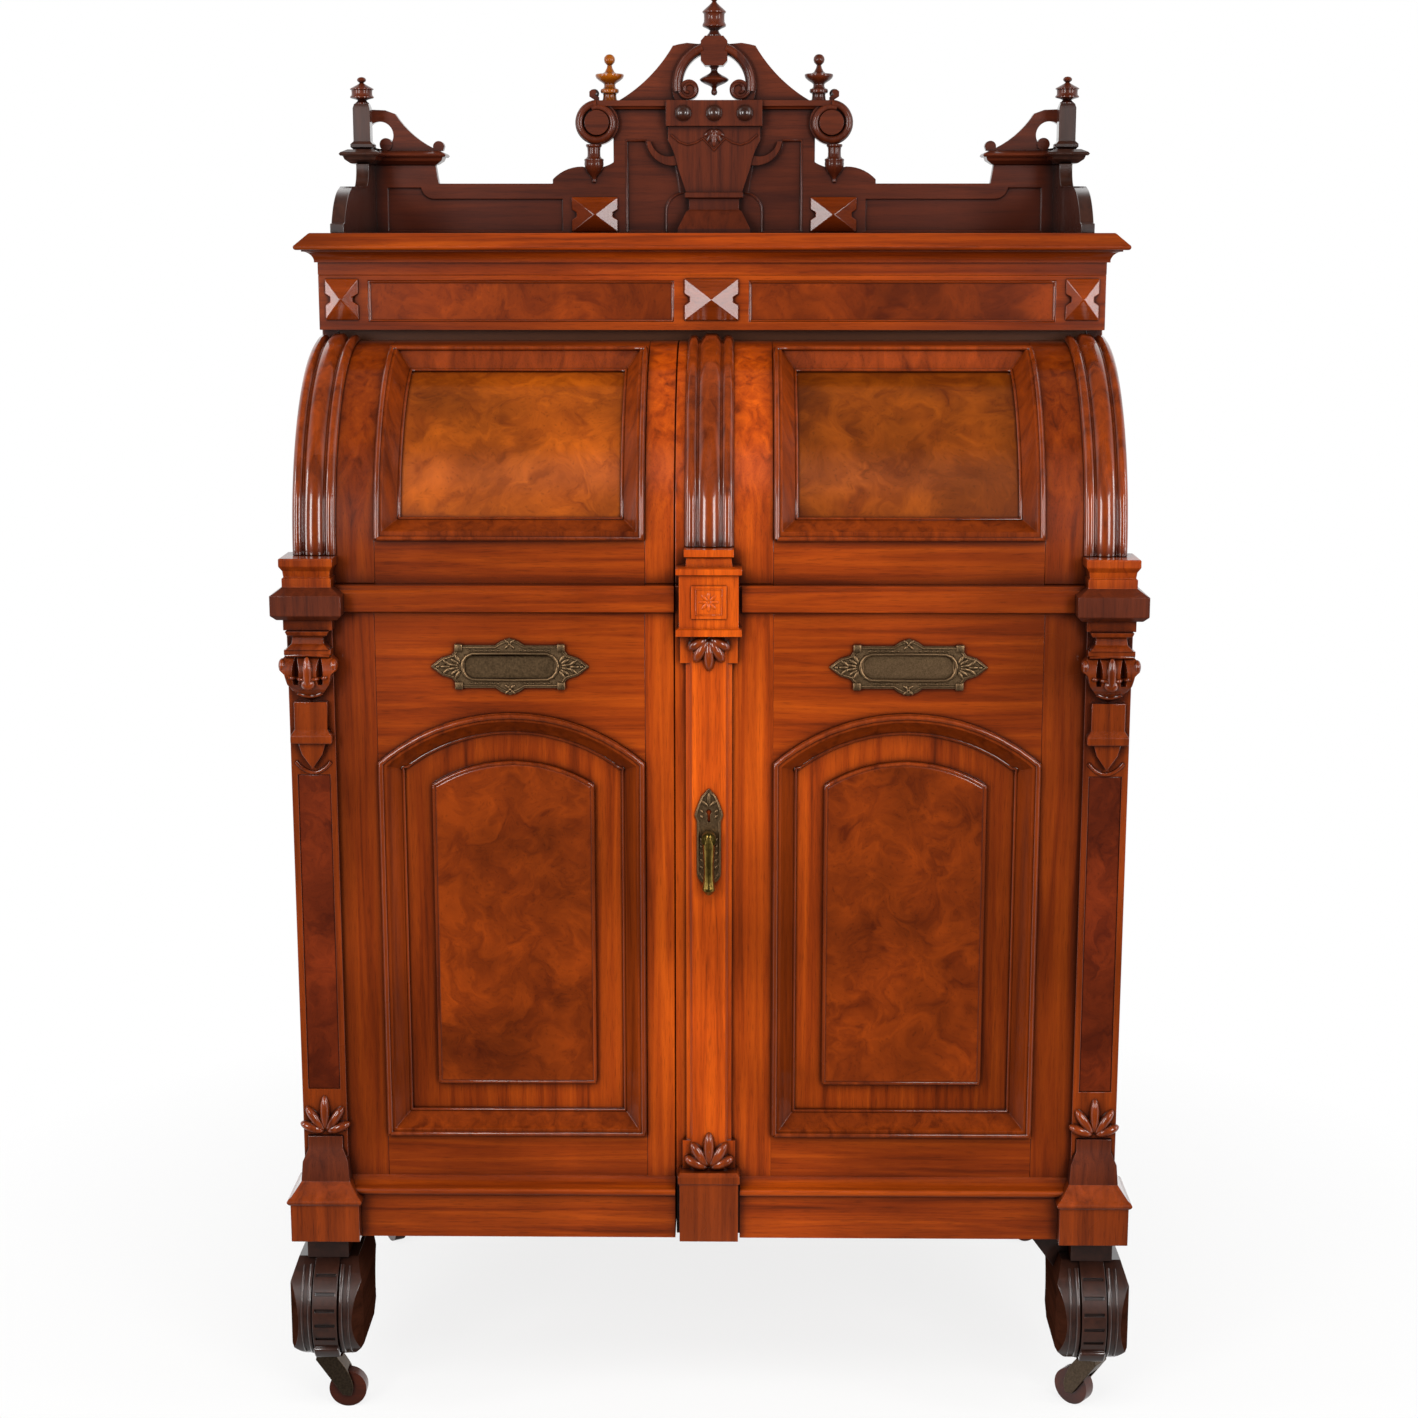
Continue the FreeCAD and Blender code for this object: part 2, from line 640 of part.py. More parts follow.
def post_console():
    """Plain members under the waist block: tapered neck, flat block, bevelled cap and pointed drop."""
    c, y, w = POST_C, POST_Y, WAIST_TOP
    neck = moulded_block(c - 19, c + 19, y - 14, y + 14, (8, w - 77), (1, w - 70), (0, w - 62), (6, w - 59),
                         (8, w - 54))
    block = box(c - 21, c + 21, y - 9, y, w - 180, w - 145)
    cap = moulded_block(c - 21, c + 21, y - 9, y + 9, (4, w - 198), (5, w - 196), (5, w - 188), (0, w - 180))
    drop = outline(at_y(y), (c - 17, w - 198), (c + 17, w - 198), (c + 13, w - 212), (c, w - 231),
                   (c - 13, w - 212))
    behind = box(c - 60, c + 60, y, y + 60, w - 250, w)
    return [neck.cut(behind), block, cap.cut(behind), drop.extrude(vec(0, -9, 0))]


def pyramid(base, apex):
    """Solid with flat faces from a ring of points to one apex."""
    sides = [flat([a, b, apex]) for a, b in zip(base, [*base[1:], base[0]])]
    return Part.Solid(Part.Shell([flat(base), *sides]))


def petal(length, half, rise):
    """Ridged petal that lies on an upright face and points up from the origin."""
    base = [vec(0, 0, 0), vec(half, 0, length * 0.6), vec(0, 0, length), vec(-half, 0, length * 0.6)]
    return pyramid(base, vec(0, -rise, length * 0.55))


def fan(x, y, z, length, half, spread, count, down=False):
    """Carved fan of petals on an upright face: a palmette, or a hanging leaf when it points down."""
    petals = []
    for i in range(count):
        across = 2 * i / (count - 1) - 1
        leaf = petal(length * (1 - 0.3 * abs(across)), half, half * 1.2)
        leaf.rotate(vec(0, 0, 0), vec(0, 1, 0), spread / 2 * across + (180 if down else 0))
        leaf.translate(vec(x, y, z))
        petals.append(leaf)
    return petals[0].multiFuse(petals[1:]).Solids[0]


def corbel_boss():
    """Carved boss on the corner post: a bellied console with pointed ears, and hollows beside its keel."""
    c, y, top = POST_C, POST_Y, WAIST_TOP - 77
    side = outline(at_x(c - 40), (y, top), (y - 20, top), (y - 20, top - 6), (y - 15, top - 9),
                   ((y - 24, top - 32), (y - 12, top - 55)), (y, top - 68))
    right = ((29, 0), (29, -9), (35, -15), (35, -25), (29, -31), (26, -44), (16, -58))
    left = [(-x, z) for x, z in reversed(right)]
    front = outline(at_y(y - 40), *[(c + x, top + z) for x, z in (*right, (0, -68), *left)])
    body = side.extrude(vec(80, 0, 0)).common(front.extrude(vec(0, 40, 0)))
    for x in (c - 15, c + 15):
        hollow = outline(at_z(top - 44), (x - 7, y - 30), (x + 7, y - 30), (x, y - 14))
        body = body.cut(hollow.extrude(vec(0, 0, 34)))
    return body.Solids[0]


def door_carvings():
    return [corbel_boss(), fan(POST_C, POST_Y, PLINTH_TOP + 62, 46, 7, 140, 5)]


def roll(x0, x1, low, high):
    """Round reed drawn with three flats: foot, two shoulders and foot."""
    shoulder = (x1 - x0) * 0.28
    return [(x0, low), (x0 + shoulder, high), (x1 - shoulder, high), (x1, low)]


def reed_face(x0, x1):
    """Section of a reeded pilaster: a broad reed between two narrow ones."""
    narrow = (x1 - x0) * 0.25
    low = FRAME_R + REED_PROUD * 0.3
    mid = FRAME_R + REED_PROUD * 0.8
    a, b = x0 + narrow, x1 - narrow
    return outline(spring_plane, (x0, FRAME_R), *roll(x0, a, low, mid), *roll(a, b, low, REED_R)[1:],
                   *roll(b, x1, low, mid)[1:], (x1, FRAME_R))


def corner_reeds():
    return around_curve(reed_face(POST_X0 - 4, HALF_WIDTH), REED_SWEEP)


def pilaster_reeds():
    """Reeds over the meeting edge, from the head of the pilaster up."""
    start = math.degrees(math.asin((PILASTER_HEAD - SPRING_RISE) / FRAME_R))
    reeds = around_curve(reed_face(-PILASTER_HALF - 1, PILASTER_HALF + 1), REED_SWEEP - start)
    reeds.rotate(vec(0, AXIS_Y, SPRING_Z), vec(-1, 0, 0), start)
    return reeds


def hinge_leaf(z, y0, y1, low, high):
    """Leaf between the edges of door and case, with the knuckle it carries outside."""
    leaf = box(HALF_WIDTH - HINGE_LEAF, HALF_WIDTH, y0, y1, z, z + HINGE_H)
    tongue = box(HALF_WIDTH, HINGE_X, y0, y1, low, high)
    knuckle = turned(HINGE_X, HINGE_Y, low, (KNUCKLE_R, 0), (KNUCKLE_R, high - low))
    return leaf.fuse(tongue).fuse(knuckle)


def door_hinges():
    """Door leaves, whose bored knuckles stand on those of the case."""
    solids = []
    r = across_flats(PIN_R + RUNNING_FIT)
    for z in HINGE_LEVELS:
        low, high = z + HINGE_H / 2 + KNUCKLE_GAP, z + HINGE_H
        leaf = hinge_leaf(z, DOOR_BACK_Y, DOOR_BACK_Y + LEAF_T, low, high)
        bore = turned(HINGE_X, HINGE_Y, z, (r, 0), (r, 2 * HINGE_H))
        solids.append(leaf.cut(bore).removeSplitter())
    return solids


def case_hinges():
    """Case leaves with the hinge pins in their knuckles, on both sides."""
    solids = []
    for z in HINGE_LEVELS:
        leaf = hinge_leaf(z, CASE_Y - LEAF_T, CASE_Y, z, z + HINGE_H / 2)
        pin = Part.makeCylinder(PIN_R, HINGE_H, vec(HINGE_X, HINGE_Y, z))
        solids.append(leaf.fuse(pin).removeSplitter())
    return both_sides(solids)


def letter_plate(slotted):
    """Pointed cast plate with a window; the blank one has a sunk field instead."""
    half_w, half_h = LETTER_W / 2, LETTER_H / 2
    quarter = [(half_w, 0), (half_w - 14, 11), (half_w - 27, 15), (half_w - 36, half_h - 9), (18, half_h - 9),
               (11, half_h - 4), (0, half_h)]
    ring = quarter + [(-a, b) for a, b in reversed(quarter[:-1])]
    ring += [(a, -b) for a, b in reversed(ring[1:-1])]
    points = [(LETTER_X + a, LETTER_Z + b) for a, b in ring]
    front = FACE_Y - LETTER_PLATE_T
    plate = outline(at_y(front), *points).extrude(vec(0, LETTER_PLATE_T, 0))
    depth = LETTER_PLATE_T + 1 if slotted else LETTER_PLATE_T / 2
    window = box(LETTER_X - WINDOW_W / 2, LETTER_X + WINDOW_W / 2, front - 1, front + depth,
                 LETTER_Z - WINDOW_H / 2, LETTER_Z + WINDOW_H / 2)
    plate = plate.cut(window)
    return plate.cut(flap_pin_slot()) if slotted else plate


def flap_pin_slot():
    """Square slot in the plate for the ends of the flap's pin."""
    half, r = WINDOW_W / 2 + FLAP_PIN_REACH + 0.2, FLAP_PIN_R + RUNNING_FIT
    x, y, z = LETTER_X, FLAP_AXIS_Y, FLAP_AXIS_Z
    return box(x - half, x + half, y - r, y + r, z - r, z + r)


def letter_flap():
    """Flap that hangs in the window from a pin along its upper edge."""
    half = WINDOW_W / 2 - FLAP_CLEAR
    leaf = box(LETTER_X - half, LETTER_X + half, FLAP_AXIS_Y - FLAP_T / 2, FLAP_AXIS_Y + FLAP_T / 2,
               LETTER_Z - WINDOW_H / 2 + FLAP_CLEAR, FLAP_AXIS_Z + 1)
    end = WINDOW_W / 2 + FLAP_PIN_REACH
    pin = Part.makeCylinder(FLAP_PIN_R, 2 * end, vec(LETTER_X - end, FLAP_AXIS_Y, FLAP_AXIS_Z), vec(1, 0, 0))
    return leaf.fuse(pin).removeSplitter()


def pilaster_profile(y):
    """Level section of the centre pilaster: a bevelled strip with a raised middle."""
    h, p = PILASTER_HALF, PILASTER_PROUD
    return [(-h, y), (h, y), (h, y - p * 0.4), (h - 5, y - p * 0.5), (h - 8, y - p), (8 - h, y - p),
            (5 - h, y - p * 0.5), (-h, y - p * 0.4)]


def spindle_bore(extra=0.0):
    """Hole for the lever's spindle through pilaster and stile."""
    r = across_flats(SPINDLE_R + RUNNING_FIT + extra)
    return turned_out(0, FACE_Y + DOOR_DEPTH / 2, LEVER_Z, (r, 0), (r, DOOR_DEPTH))


def centre_pilaster():
    """Pilaster that covers the meeting edge: shaft, head with block, and plinth block."""
    w, p, y = WAIST_TOP, PLINTH_TOP, FACE_Y
    core = door_core()
    head = moulded_block(-37, 37, y - 22, y + 40, (4, w - 60), (4, w - 52), (0, w - 50), (0, w + 15),
                         (4, w + 17), (4, w + 24), (-8, w + 26), (-9, w + 36), (-6, w + 38),
                         (-6, w + PILASTER_HEAD))
    foot = moulded_block(-35, 35, y - 24, y + 40, (3, DOOR_Z), (3, p - 2), (5, p), (5, p + 9), (2, p + 14))
    shaft = outline(at_z(p + 14), *pilaster_profile(y)).extrude(vec(0, 0, w - 60 - p - 14))
    shaft = shaft.fuse(box(-36, 36, y - 9, y, w - 96, w - 60)).fuse(box(-34, 34, y - 9, y, p + 14, p + 52))
    shaft = shaft.removeSplitter().cut(spindle_bore(SPINDLE_CLEAR))
    panel = box(-22, 22, y - 24, y - 22, w - 38, w + 3)
    return [head.cut(core), foot.cut(core), shaft, panel]


def pilaster_carvings():
    """Leaf fan under the block and palmette over the plinth, on the centre pilaster."""
    y = FACE_Y - PILASTER_PROUD
    return [fan(0, y, WAIST_TOP - 62, 40, 8, 120, 5, True), fan(0, y, PLINTH_TOP + 16, 46, 8, 130, 5)]


def lock_plate():
    """Narrow plate with a pointed head, a rounded foot, a keyhole and the spindle hole."""
    z0, z1, y = LEVER_Z - 62, LEVER_Z + 62, PILASTER_Y
    right = ((15, z1 - 42), (18, z1 - 34), (14, z1 - 22), (9, z1 - 10))
    left = [(-a, b) for a, b in reversed(right)]
    face = outline(at_y(y), (-15, z0 + 14), ((0, z0), (15, z0 + 14)), *right, (0, z1), *left)
    plate = face.extrude(vec(0, -LOCK_PLATE_T, 0)).cut(spindle_bore())
    hole = turned_out(0, y + 2, z1 - 30, (KEYHOLE_R, 0), (KEYHOLE_R, 6))
    return plate.cut(hole.fuse(box(-KEYHOLE_R / 2, KEYHOLE_R / 2, y - 4, y + 2, z1 - 43, z1 - 30)))


def door_lock():
    """Rim lock on the inside of the meeting stile, bored for the spindle, with its bolt drawn back."""
    y = FACE_Y + FRAME_T
    x0 = MEET_X + MEET_GAP / 2 + MEET_WALL
    case = box(x0, 40, y, y + LOCK_CASE_T, SHELF_MID + BOARD_T + 3, LEVER_Z + 65)
    r = across_flats(SPINDLE_R + RUNNING_FIT)
    depth = SPINDLE_IN + SPINDLE_CLEAR
    return case.cut(turned_out(0, y + depth, LEVER_Z, (r, 0), (r, depth + 1)))


def lever_handle():
    """Lever that hangs from a round hub, narrows and ends in a bulb, on the spindle it turns."""
    y, z = PILASTER_Y - LOCK_PLATE_T, LEVER_Z
    hub = Part.makeCylinder(HUB_R, LEVER_HUB, vec(0, y - LEVER_HUB - LEVER_CLEAR, z), vec(0, 1, 0))
    reach = PILASTER_PROUD + LOCK_PLATE_T + FRAME_T + SPINDLE_IN
    shaft = turned_out(0, y + reach, z, (SPINDLE_R, 0), (SPINDLE_R, reach + 1))
    arm = turned(0, y - LEVER_HUB * 0.7, z, (6.5, 8), (8, -12), (6, -34), (6.5, -54), (9, -66),
                 (4, -LEVER_DROP))
    return hub.fuse(arm).fuse(shaft)


def build_door(meet, slotted):
    """All fixed pieces of one door, drawn on the right-hand side of the desk."""
    return {
        "stiles": door_stiles(meet),
        "rails": door_rails(meet, slotted),
        "mouldings": [lower_moulding(), upper_moulding()],
        "panel": [field_panel()],
        "burl": [raised_burl(), curved_burl(), post_strip(), side_burl(*DOOR_SIDE_FIELD)],
        "side": door_side(meet),
        "rack": door_rack(meet),
        "corner_post": corner_post(),
        "reeds": [corner_reeds()],
        "carvings": door_carvings(),
        "hinges": door_hinges(),
        "letter_plate": [letter_plate(slotted)],
    }


def left_door():
    pieces = build_door(-MEET_X + MEET_GAP / 2, True)
    nodes = {f"left_{name}": [flip(s) for s in solids] for name, solids in pieces.items()}
    nodes["letter_flap"] = [flip(letter_flap())]
    return nodes


def right_door():
    pieces = build_door(MEET_X + MEET_GAP / 2, False)
    bore = spindle_bore(SPINDLE_CLEAR)
    pieces["stiles"] = [s.cut(bore) for s in pieces["stiles"]]
    pieces["reeds"].append(pilaster_reeds())
    pieces["carvings"] += pilaster_carvings()
    nodes = {f"right_{name}": solids for name, solids in pieces.items()}
    nodes["centre_pilaster"] = centre_pilaster()
    nodes["lock_plate"] = [lock_plate()]
    nodes["door_lock"] = [door_lock()]
    nodes["lever_handle"] = [lever_handle()]
    return nodes


def case_sides():
    """Side boards with sunk fields, plinth and waist strips."""
    side = box(INNER, HALF_WIDTH, CASE_Y, BACK_Y, CASE_Z, FRIEZE_TOP)
    for field in CASE_SIDE_FIELDS:
        side = side.cut(side_pocket(*field))
    return both_sides([side, *side_trim(DOOR_DEPTH + DOOR_GAP, BACK_DEPTH)])


def frieze_field(y0, y1):
    """Room of the right-hand sunk panel of the frieze, between two depths."""
    return box(FRIEZE_X0, FRIEZE_X1, y0, y1, FRIEZE_Z + FRIEZE_MARGIN, FRIEZE_TOP - FRIEZE_MARGIN + 3)


def frieze():
    """Board over the doors with two sunk panels."""
    board = box(-HALF_WIDTH, HALF_WIDTH, FRIEZE_Y, CASE_Y, FRIEZE_Z, FRIEZE_TOP)
    sunk = frieze_field(FRIEZE_Y - 1, FRIEZE_Y + FRIEZE_SINK)
    return [board.cut(sunk).cut(flip(sunk))]


def burl_panels():
    """Burl on the case: frieze panels in front and the fields of the sides."""
    front = frieze_field(FRIEZE_Y + FRIEZE_SINK / 3, FRIEZE_Y + FRIEZE_SINK)
    return both_sides([front, *[side_burl(*field) for field in CASE_SIDE_FIELDS]])


def nailhead(x, z, y, half_w, half_h):
    """Low pyramid on a square plate, notched at its two sides."""
    left, right, low, high = x - half_w, x + half_w, z - half_h, z + half_h
    corners = [(left, low), (right, low), (right, high), (left, high)]
    front = y - NAILHEAD_T
    plate = outline(at_y(y), *corners).extrude(vec(0, -NAILHEAD_T, 0))
    point = pyramid([vec(a, front, b) for a, b in corners], vec(x, y - NAILHEAD_PROUD, z))
    head = plate.fuse(point).removeSplitter()
    for edge, side in ((left, -1), (right, 1)):
        outer, inner = edge + side, edge - side * 7
        notch = outline(at_y(y - 30), (outer, z - 8), (inner, z - 3), (inner, z + 3), (outer, z + 8))
        head = head.cut(notch.extrude(vec(0, 40, 0)))
    return head


def nailhead_blocks():
    """Nailhead blocks: the middle and ends of the frieze, and beside the crest."""
    z = (FRIEZE_Z + FRIEZE_TOP) / 2 + 4
    middle = nailhead(0, z, FRIEZE_Y, 36, 27)
    end = nailhead(HALF_WIDTH - 31, z, FRIEZE_Y, 22, 27)
    crest = nailhead(CREST_HALF + 27.5, TOP_Z + 26, GALLERY_Y, 33.5, 25)
    return [middle, *both_sides([end, crest])]


def cornice():
    """Mitred cornice on three sides: fascia, cove, nosing and a weathered top."""
    f, t, r = FRIEZE_TOP, TOP_Z, CORNICE_REACH
    steps = ((0, f), (0, t - 38), (4, t - 38), (4, t - 35), ((9, t - 27), (r - 9, t - 24)), (r - 9, t - 22),
             (r - 4, t - 22), ((r, t - 18.5), (r - 2, t - 15)), (10, t - 1), (8, t))
    solid = moulded_block(-HALF_WIDTH, HALF_WIDTH, FRIEZE_Y, BACK_Y + 2 * r, *steps)
    behind = box(-2 * HALF_WIDTH, 2 * HALF_WIDTH, BACK_Y, BACK_Y + 4 * r, 0, 2 * t)
    return [solid.cut(behind).cut(box(-INNER, INNER, CASE_Y, BACK_Y + 1, f - 1, t + 1))]


def case_shelves():
    """Floor, drawer runners, writing level, niche shelves, head board and top, all between the sides."""
    back, under_top, head = BACK_Y - BACK_T, TOP_Z - TOP_T, CASE_HEAD_Z + BOARD_T
    boards = [box(-INNER, INNER, CASE_Y, back, CASE_Z, CASE_Z + FLOOR_T),
              box(-INNER, INNER, CASE_Y, BACK_Y, under_top, TOP_Z),
              box(-INNER, INNER, CASE_Y, back, SHELF_MID, SHELF_MID + BOARD_T),
              box(-INNER, INNER, CASE_Y, back, CASE_HEAD_Z, head),
              box(-INNER, INNER, CASE_Y, CASE_Y + SIDE_T, head, under_top)]
    boards += [box(-INNER, INNER, CASE_Y + NICHE_BACK, back, z, z + DUST_T) for z in NICHE_LEVELS]
    boards.append(box(DRAWER_X0, DRAWER_X1, CASE_Y, back, SHELF_LOW, SHELF_LOW + BOARD_T))
    boards += [box(DRAWER_X0, DRAWER_X1, CASE_Y, back, z, z + DUST_T) for z in drawer_dust_levels()]
    return boards


def drawer_bays():
    """Foot and head of the two bays that take the drawers."""
    return (CASE_Z + FLOOR_T, SHELF_LOW), (SHELF_LOW + BOARD_T, SHELF_MID)


def drawer_dust_levels():
    return [(low + high - DUST_T) / 2 for low, high in drawer_bays()]


def case_dividers():
    """Upright partitions: beside the drawers, between the ledger slots and between the niches."""
    back, half = BACK_Y - BACK_T, DIVIDER_T / 2
    low, high = CASE_Z + FLOOR_T, SHELF_MID
    start = DRAWER_X1 + BOARD_T
    uprights = [box(DRAWER_X1, start, CASE_Y, back, low, high)]
    for i in range(1, LEDGER_SLOTS):
        x = start + (INNER - start) * i / LEDGER_SLOTS
        uprights.append(box(x - half, x + half, CASE_Y, back, low, high))
    for z, head in zip(NICHE_LEVELS, (NICHE_LEVELS[1], CASE_HEAD_Z)):
        uprights.append(box(-half, half, CASE_Y + NICHE_BACK, back, z + DUST_T, head))
    return uprights


def case_back():
    """Framed back: three uprights, three cross rails on each side and four thin panels."""
    y0, half = BACK_Y - BACK_T, BACK_STILE / 2
    z0, z1 = CASE_Z, TOP_Z - TOP_T
    mid = (z0 + z1 - BACK_RAIL) / 2
    inner = INNER - BACK_STILE
    solids = [box(x0, x1, y0, BACK_Y, z0, z1) for x0, x1 in ((-INNER, -inner), (-half, half), (inner, INNER))]
    for x0, x1 in ((-inner, -half), (half, inner)):
        rails = (z0, mid, z1 - BACK_RAIL)
        solids += [box(x0, x1, y0, BACK_Y, z, z + BACK_RAIL) for z in rails]
        for low, high in zip(rails, rails[1:]):
            solids.append(box(x0, x1, y0 + 3, BACK_Y - 4, low + BACK_RAIL, high))
    return solids


def writing_lid():
    """Fall front, raised: a framed board with two sunk fields on its outer face."""
    y = CASE_Y + LID_CLEAR
    lid = box(LID_CLEAR - INNER, INNER - LID_CLEAR, y, y + LID_T, LID_Z, CASE_HEAD_Z - LID_CLEAR)
    z0, z1 = LID_Z + LID_STILE, CASE_HEAD_Z - LID_STILE
    field = box(LID_STILE / 2, INNER - LID_STILE, y - 1, y + LID_SINK, z0, z1)
    return lid.cut(field).cut(flip(field))


def lid_leather():
    """Writing leather on the inner face of the fall front."""
    y, edge = CASE_Y + LID_CLEAR + LID_T, INNER - LEATHER_IN
    return box(-edge, edge, y, y + LEATHER_T, LID_Z + LEATHER_IN, CASE_HEAD_Z - LEATHER_IN)


def drawer_levels():
    """Foot and head of each drawer, from the lowest up."""
    levels = []
    for (low, high), dust in zip(drawer_bays(), drawer_dust_levels()):
        levels.append((low + DRAWER_SEAT, dust - DRAWER_HEAD_CLEAR))
        levels.append((dust + DUST_T + DRAWER_SEAT, high - DRAWER_HEAD_CLEAR))
    return levels


def drawer(z0, z1):
    """Drawer: front, two sides, back, bottom and a turned knob."""
    x0, x1 = DRAWER_X0 + DRAWER_CLEAR, DRAWER_X1 - DRAWER_CLEAR
    a, b = x0 + DRAWER_WALL_T, x1 - DRAWER_WALL_T
    y0 = CASE_Y + LID_CLEAR
    y1 = y0 + DRAWER_DEPTH
    inside, back, top = y0 + DRAWER_FRONT_T, y1 - DRAWER_WALL_T, z1 - DRAWER_WALL_T
    solids = [box(x0, x1, y0, inside, z0, z1),
              box(x0, a, inside, y1, z0, top),
              box(b, x1, inside, y1, z0, top),
              box(a, b, back, y1, z0, top),
              box(a, b, inside, back, z0, z0 + DRAWER_BOTTOM_T)]
    return [*solids, knob((x0 + x1) / 2, y0, (z0 + z1) / 2)]


def knob(x, y, z):
    """Turned knob on a drawer front."""
    r, h = KNOB_R, KNOB_REACH
    return turned_out(x, y, z, (r * 0.6, 0), (r * 0.5, h * 0.35), (r, h * 0.6), (r * 0.9, h * 0.85),
                      (r * 0.5, h))


def gallery_back():
    """Back board of the gallery: low rail, raised ends, curved shoulders and the body of the crest."""
    z, y, c, p = TOP_Z, GALLERY_Y, CREST_HALF, PIER_X0
    half = outline(at_y(y), (0, z), (PIER_X1, z), (PIER_X1, z + PIER_H), (p, z + PIER_H),
                   ((p - 2, z + 82), (p - 4, z + RAIL_H)), (c + 88, z + RAIL_H), (c + 88, z + 76),
                   ((c + 67, z + 90), (c + 45, z + 94)), ((c + 23, z + 92), (c, z + 100)), (c, z + CREST_H),
                   (0, z + CREST_H))
    half = half.extrude(vec(0, GALLERY_T, 0))
    long_field = outline(at_y(y - 1), (c + 74, z + 3), (p + 70, z + 3), (p + 70, z + 64), (p + 22, z + 64),
                         ((p + 16, z + 53), (p + 2, z + 48)), (c + 74, z + 48))
    crest_field = outline(at_y(y - 1), (69, z + 3), (c - 20, z + 3), (c - 20, z + 129), (99, z + 129),
                          ((86, z + 106), (56, z + 98)), (49, z + 57), ((63, z + 50), (69, z + 30)))
    for field in (long_field, crest_field):
        half = half.cut(field.extrude(vec(0, 5, 0)))
    return half.fuse(flip(half)).removeSplitter()


def gallery_side():
    """Side board: a sloped front end, a low run and a sweep up to the corner pier."""
    y, z, top, end = FACE_Y + SIDE_FRONT, TOP_Z, TOP_Z + PIER_H, GALLERY_Y
    face = outline(at_x(SIDE_X0), (y, z), (y, z + 12), (y + 12, z + 14), ((y + 40, z + 44), (y + 74, z + 58)),
                   (y + 90, z + 62), (y + 196, z + 64), ((y + 228, z + 72), (y + 236, top)), (end, top),
                   (end, z))
    return face.extrude(vec(SIDE_X1 - SIDE_X0, 0, 0))


def gallery_boards():
    return [gallery_back(), *both_sides([gallery_side()])]


def pier_cap():
    """Moulded cap over a corner of the gallery, along its back and a little way down its side."""
    z = TOP_Z + PIER_H
    steps = ((0, z), (3, z + 1), (10, z + 6), (12, z + 11), (15, z + 11), (17, z + 13.5), (15, z + 16),
             (6, z + PIER_CAP_H))
    back = moulded_block(PIER_X0, PIER_X1, GALLERY_Y, GALLERY_Y + GALLERY_T, *steps)
    y0 = FACE_Y + SIDE_FRONT + 244
    side = moulded_block(SIDE_X0, PIER_X1, y0, GALLERY_Y + GALLERY_T, *steps)
    return back.fuse(side).removeSplitter()


def end_volute():
    """Round volute that ends the crest cap, with a proud eye."""
    z = CREST_TOP + CAP_H - VOLUTE_R
    y0, y1 = GALLERY_Y - 10, GALLERY_Y + GALLERY_T - 2
    axis = vec(0, 1, 0)
    disc = Part.makeCylinder(VOLUTE_R, y1 - y0, vec(VOLUTE_X, y0, z), axis)
    eye = Part.makeCylinder(EYE_R, y1 - y0, vec(VOLUTE_X, y0 - 7, z), axis)
    body = box(0, CREST_HALF, GALLERY_Y, GALLERY_Y + GALLERY_T, 0, CREST_TOP)
    return disc.fuse(eye).cut(body).cut(crest_band())


def crest_band():
    """Flat moulding along the head of the crest's body."""
    z, y, back, top = CREST_TOP, GALLERY_Y, GALLERY_Y + GALLERY_T - 2, CREST_TOP + CAP_H
    face = outline(at_x(0), (back, z), (y - 8, z), (y - 10, z + 4), (y - 14, z + 4), (y - 14, top),
                   (back, top))
    return face.extrude(vec(VOLUTE_X, 0, 0))


def gallery_mouldings():
    band = crest_band()
    return [band.fuse(flip(band)).removeSplitter(), *both_sides([pier_cap(), end_volute()])]


def scroll_bracket():
    """Pierced scroll that leans from a corner post down to the end of its cap."""
    x, y, z = CORNER_POST_X - 4, GALLERY_Y + 1, TOP_Z + PIER_H + PIER_CAP_H
    face = outline(at_y(y), (x, z), (x, z + 58), (x - 24, z + 57), (x - 38, z + 52),
                   ((x - 62, z + 24), (x - 92, z + 4)), ((x - 100, z + 14), (x - 108, z + 6)), (x - 106, z))
    plate = face.extrude(vec(0, GALLERY_T - 4, 0))
    hole = Part.makeCylinder(19, 60, vec(x - 16, y - 20, z + 22), vec(0, 1, 0))
    curl = Part.makeCylinder(9, GALLERY_T - 1, vec(x - 24, y - 2, z + 9), vec(0, 1, 0))
    return plate.cut(hole).fuse(curl).removeSplitter().Solids[0]


def corner_post_top():
    """Square post on a cushion-shaped base, which carries a corner finial."""
    x, y, z = CORNER_POST_X, FACE_Y + CORNER_POST_DEPTH, TOP_Z + PIER_H + PIER_CAP_H
    top = z + CORNER_POST_H
    return moulded_block(x - 12, x + 12, y - 12, y + 12, (0, z), (4, z + 4), (4, z + 8), (0, z + 12),
                         (0, top - 6), (-2, top))


def gallery_scrolls():
    return both_sides([scroll_bracket(), corner_post_top()])


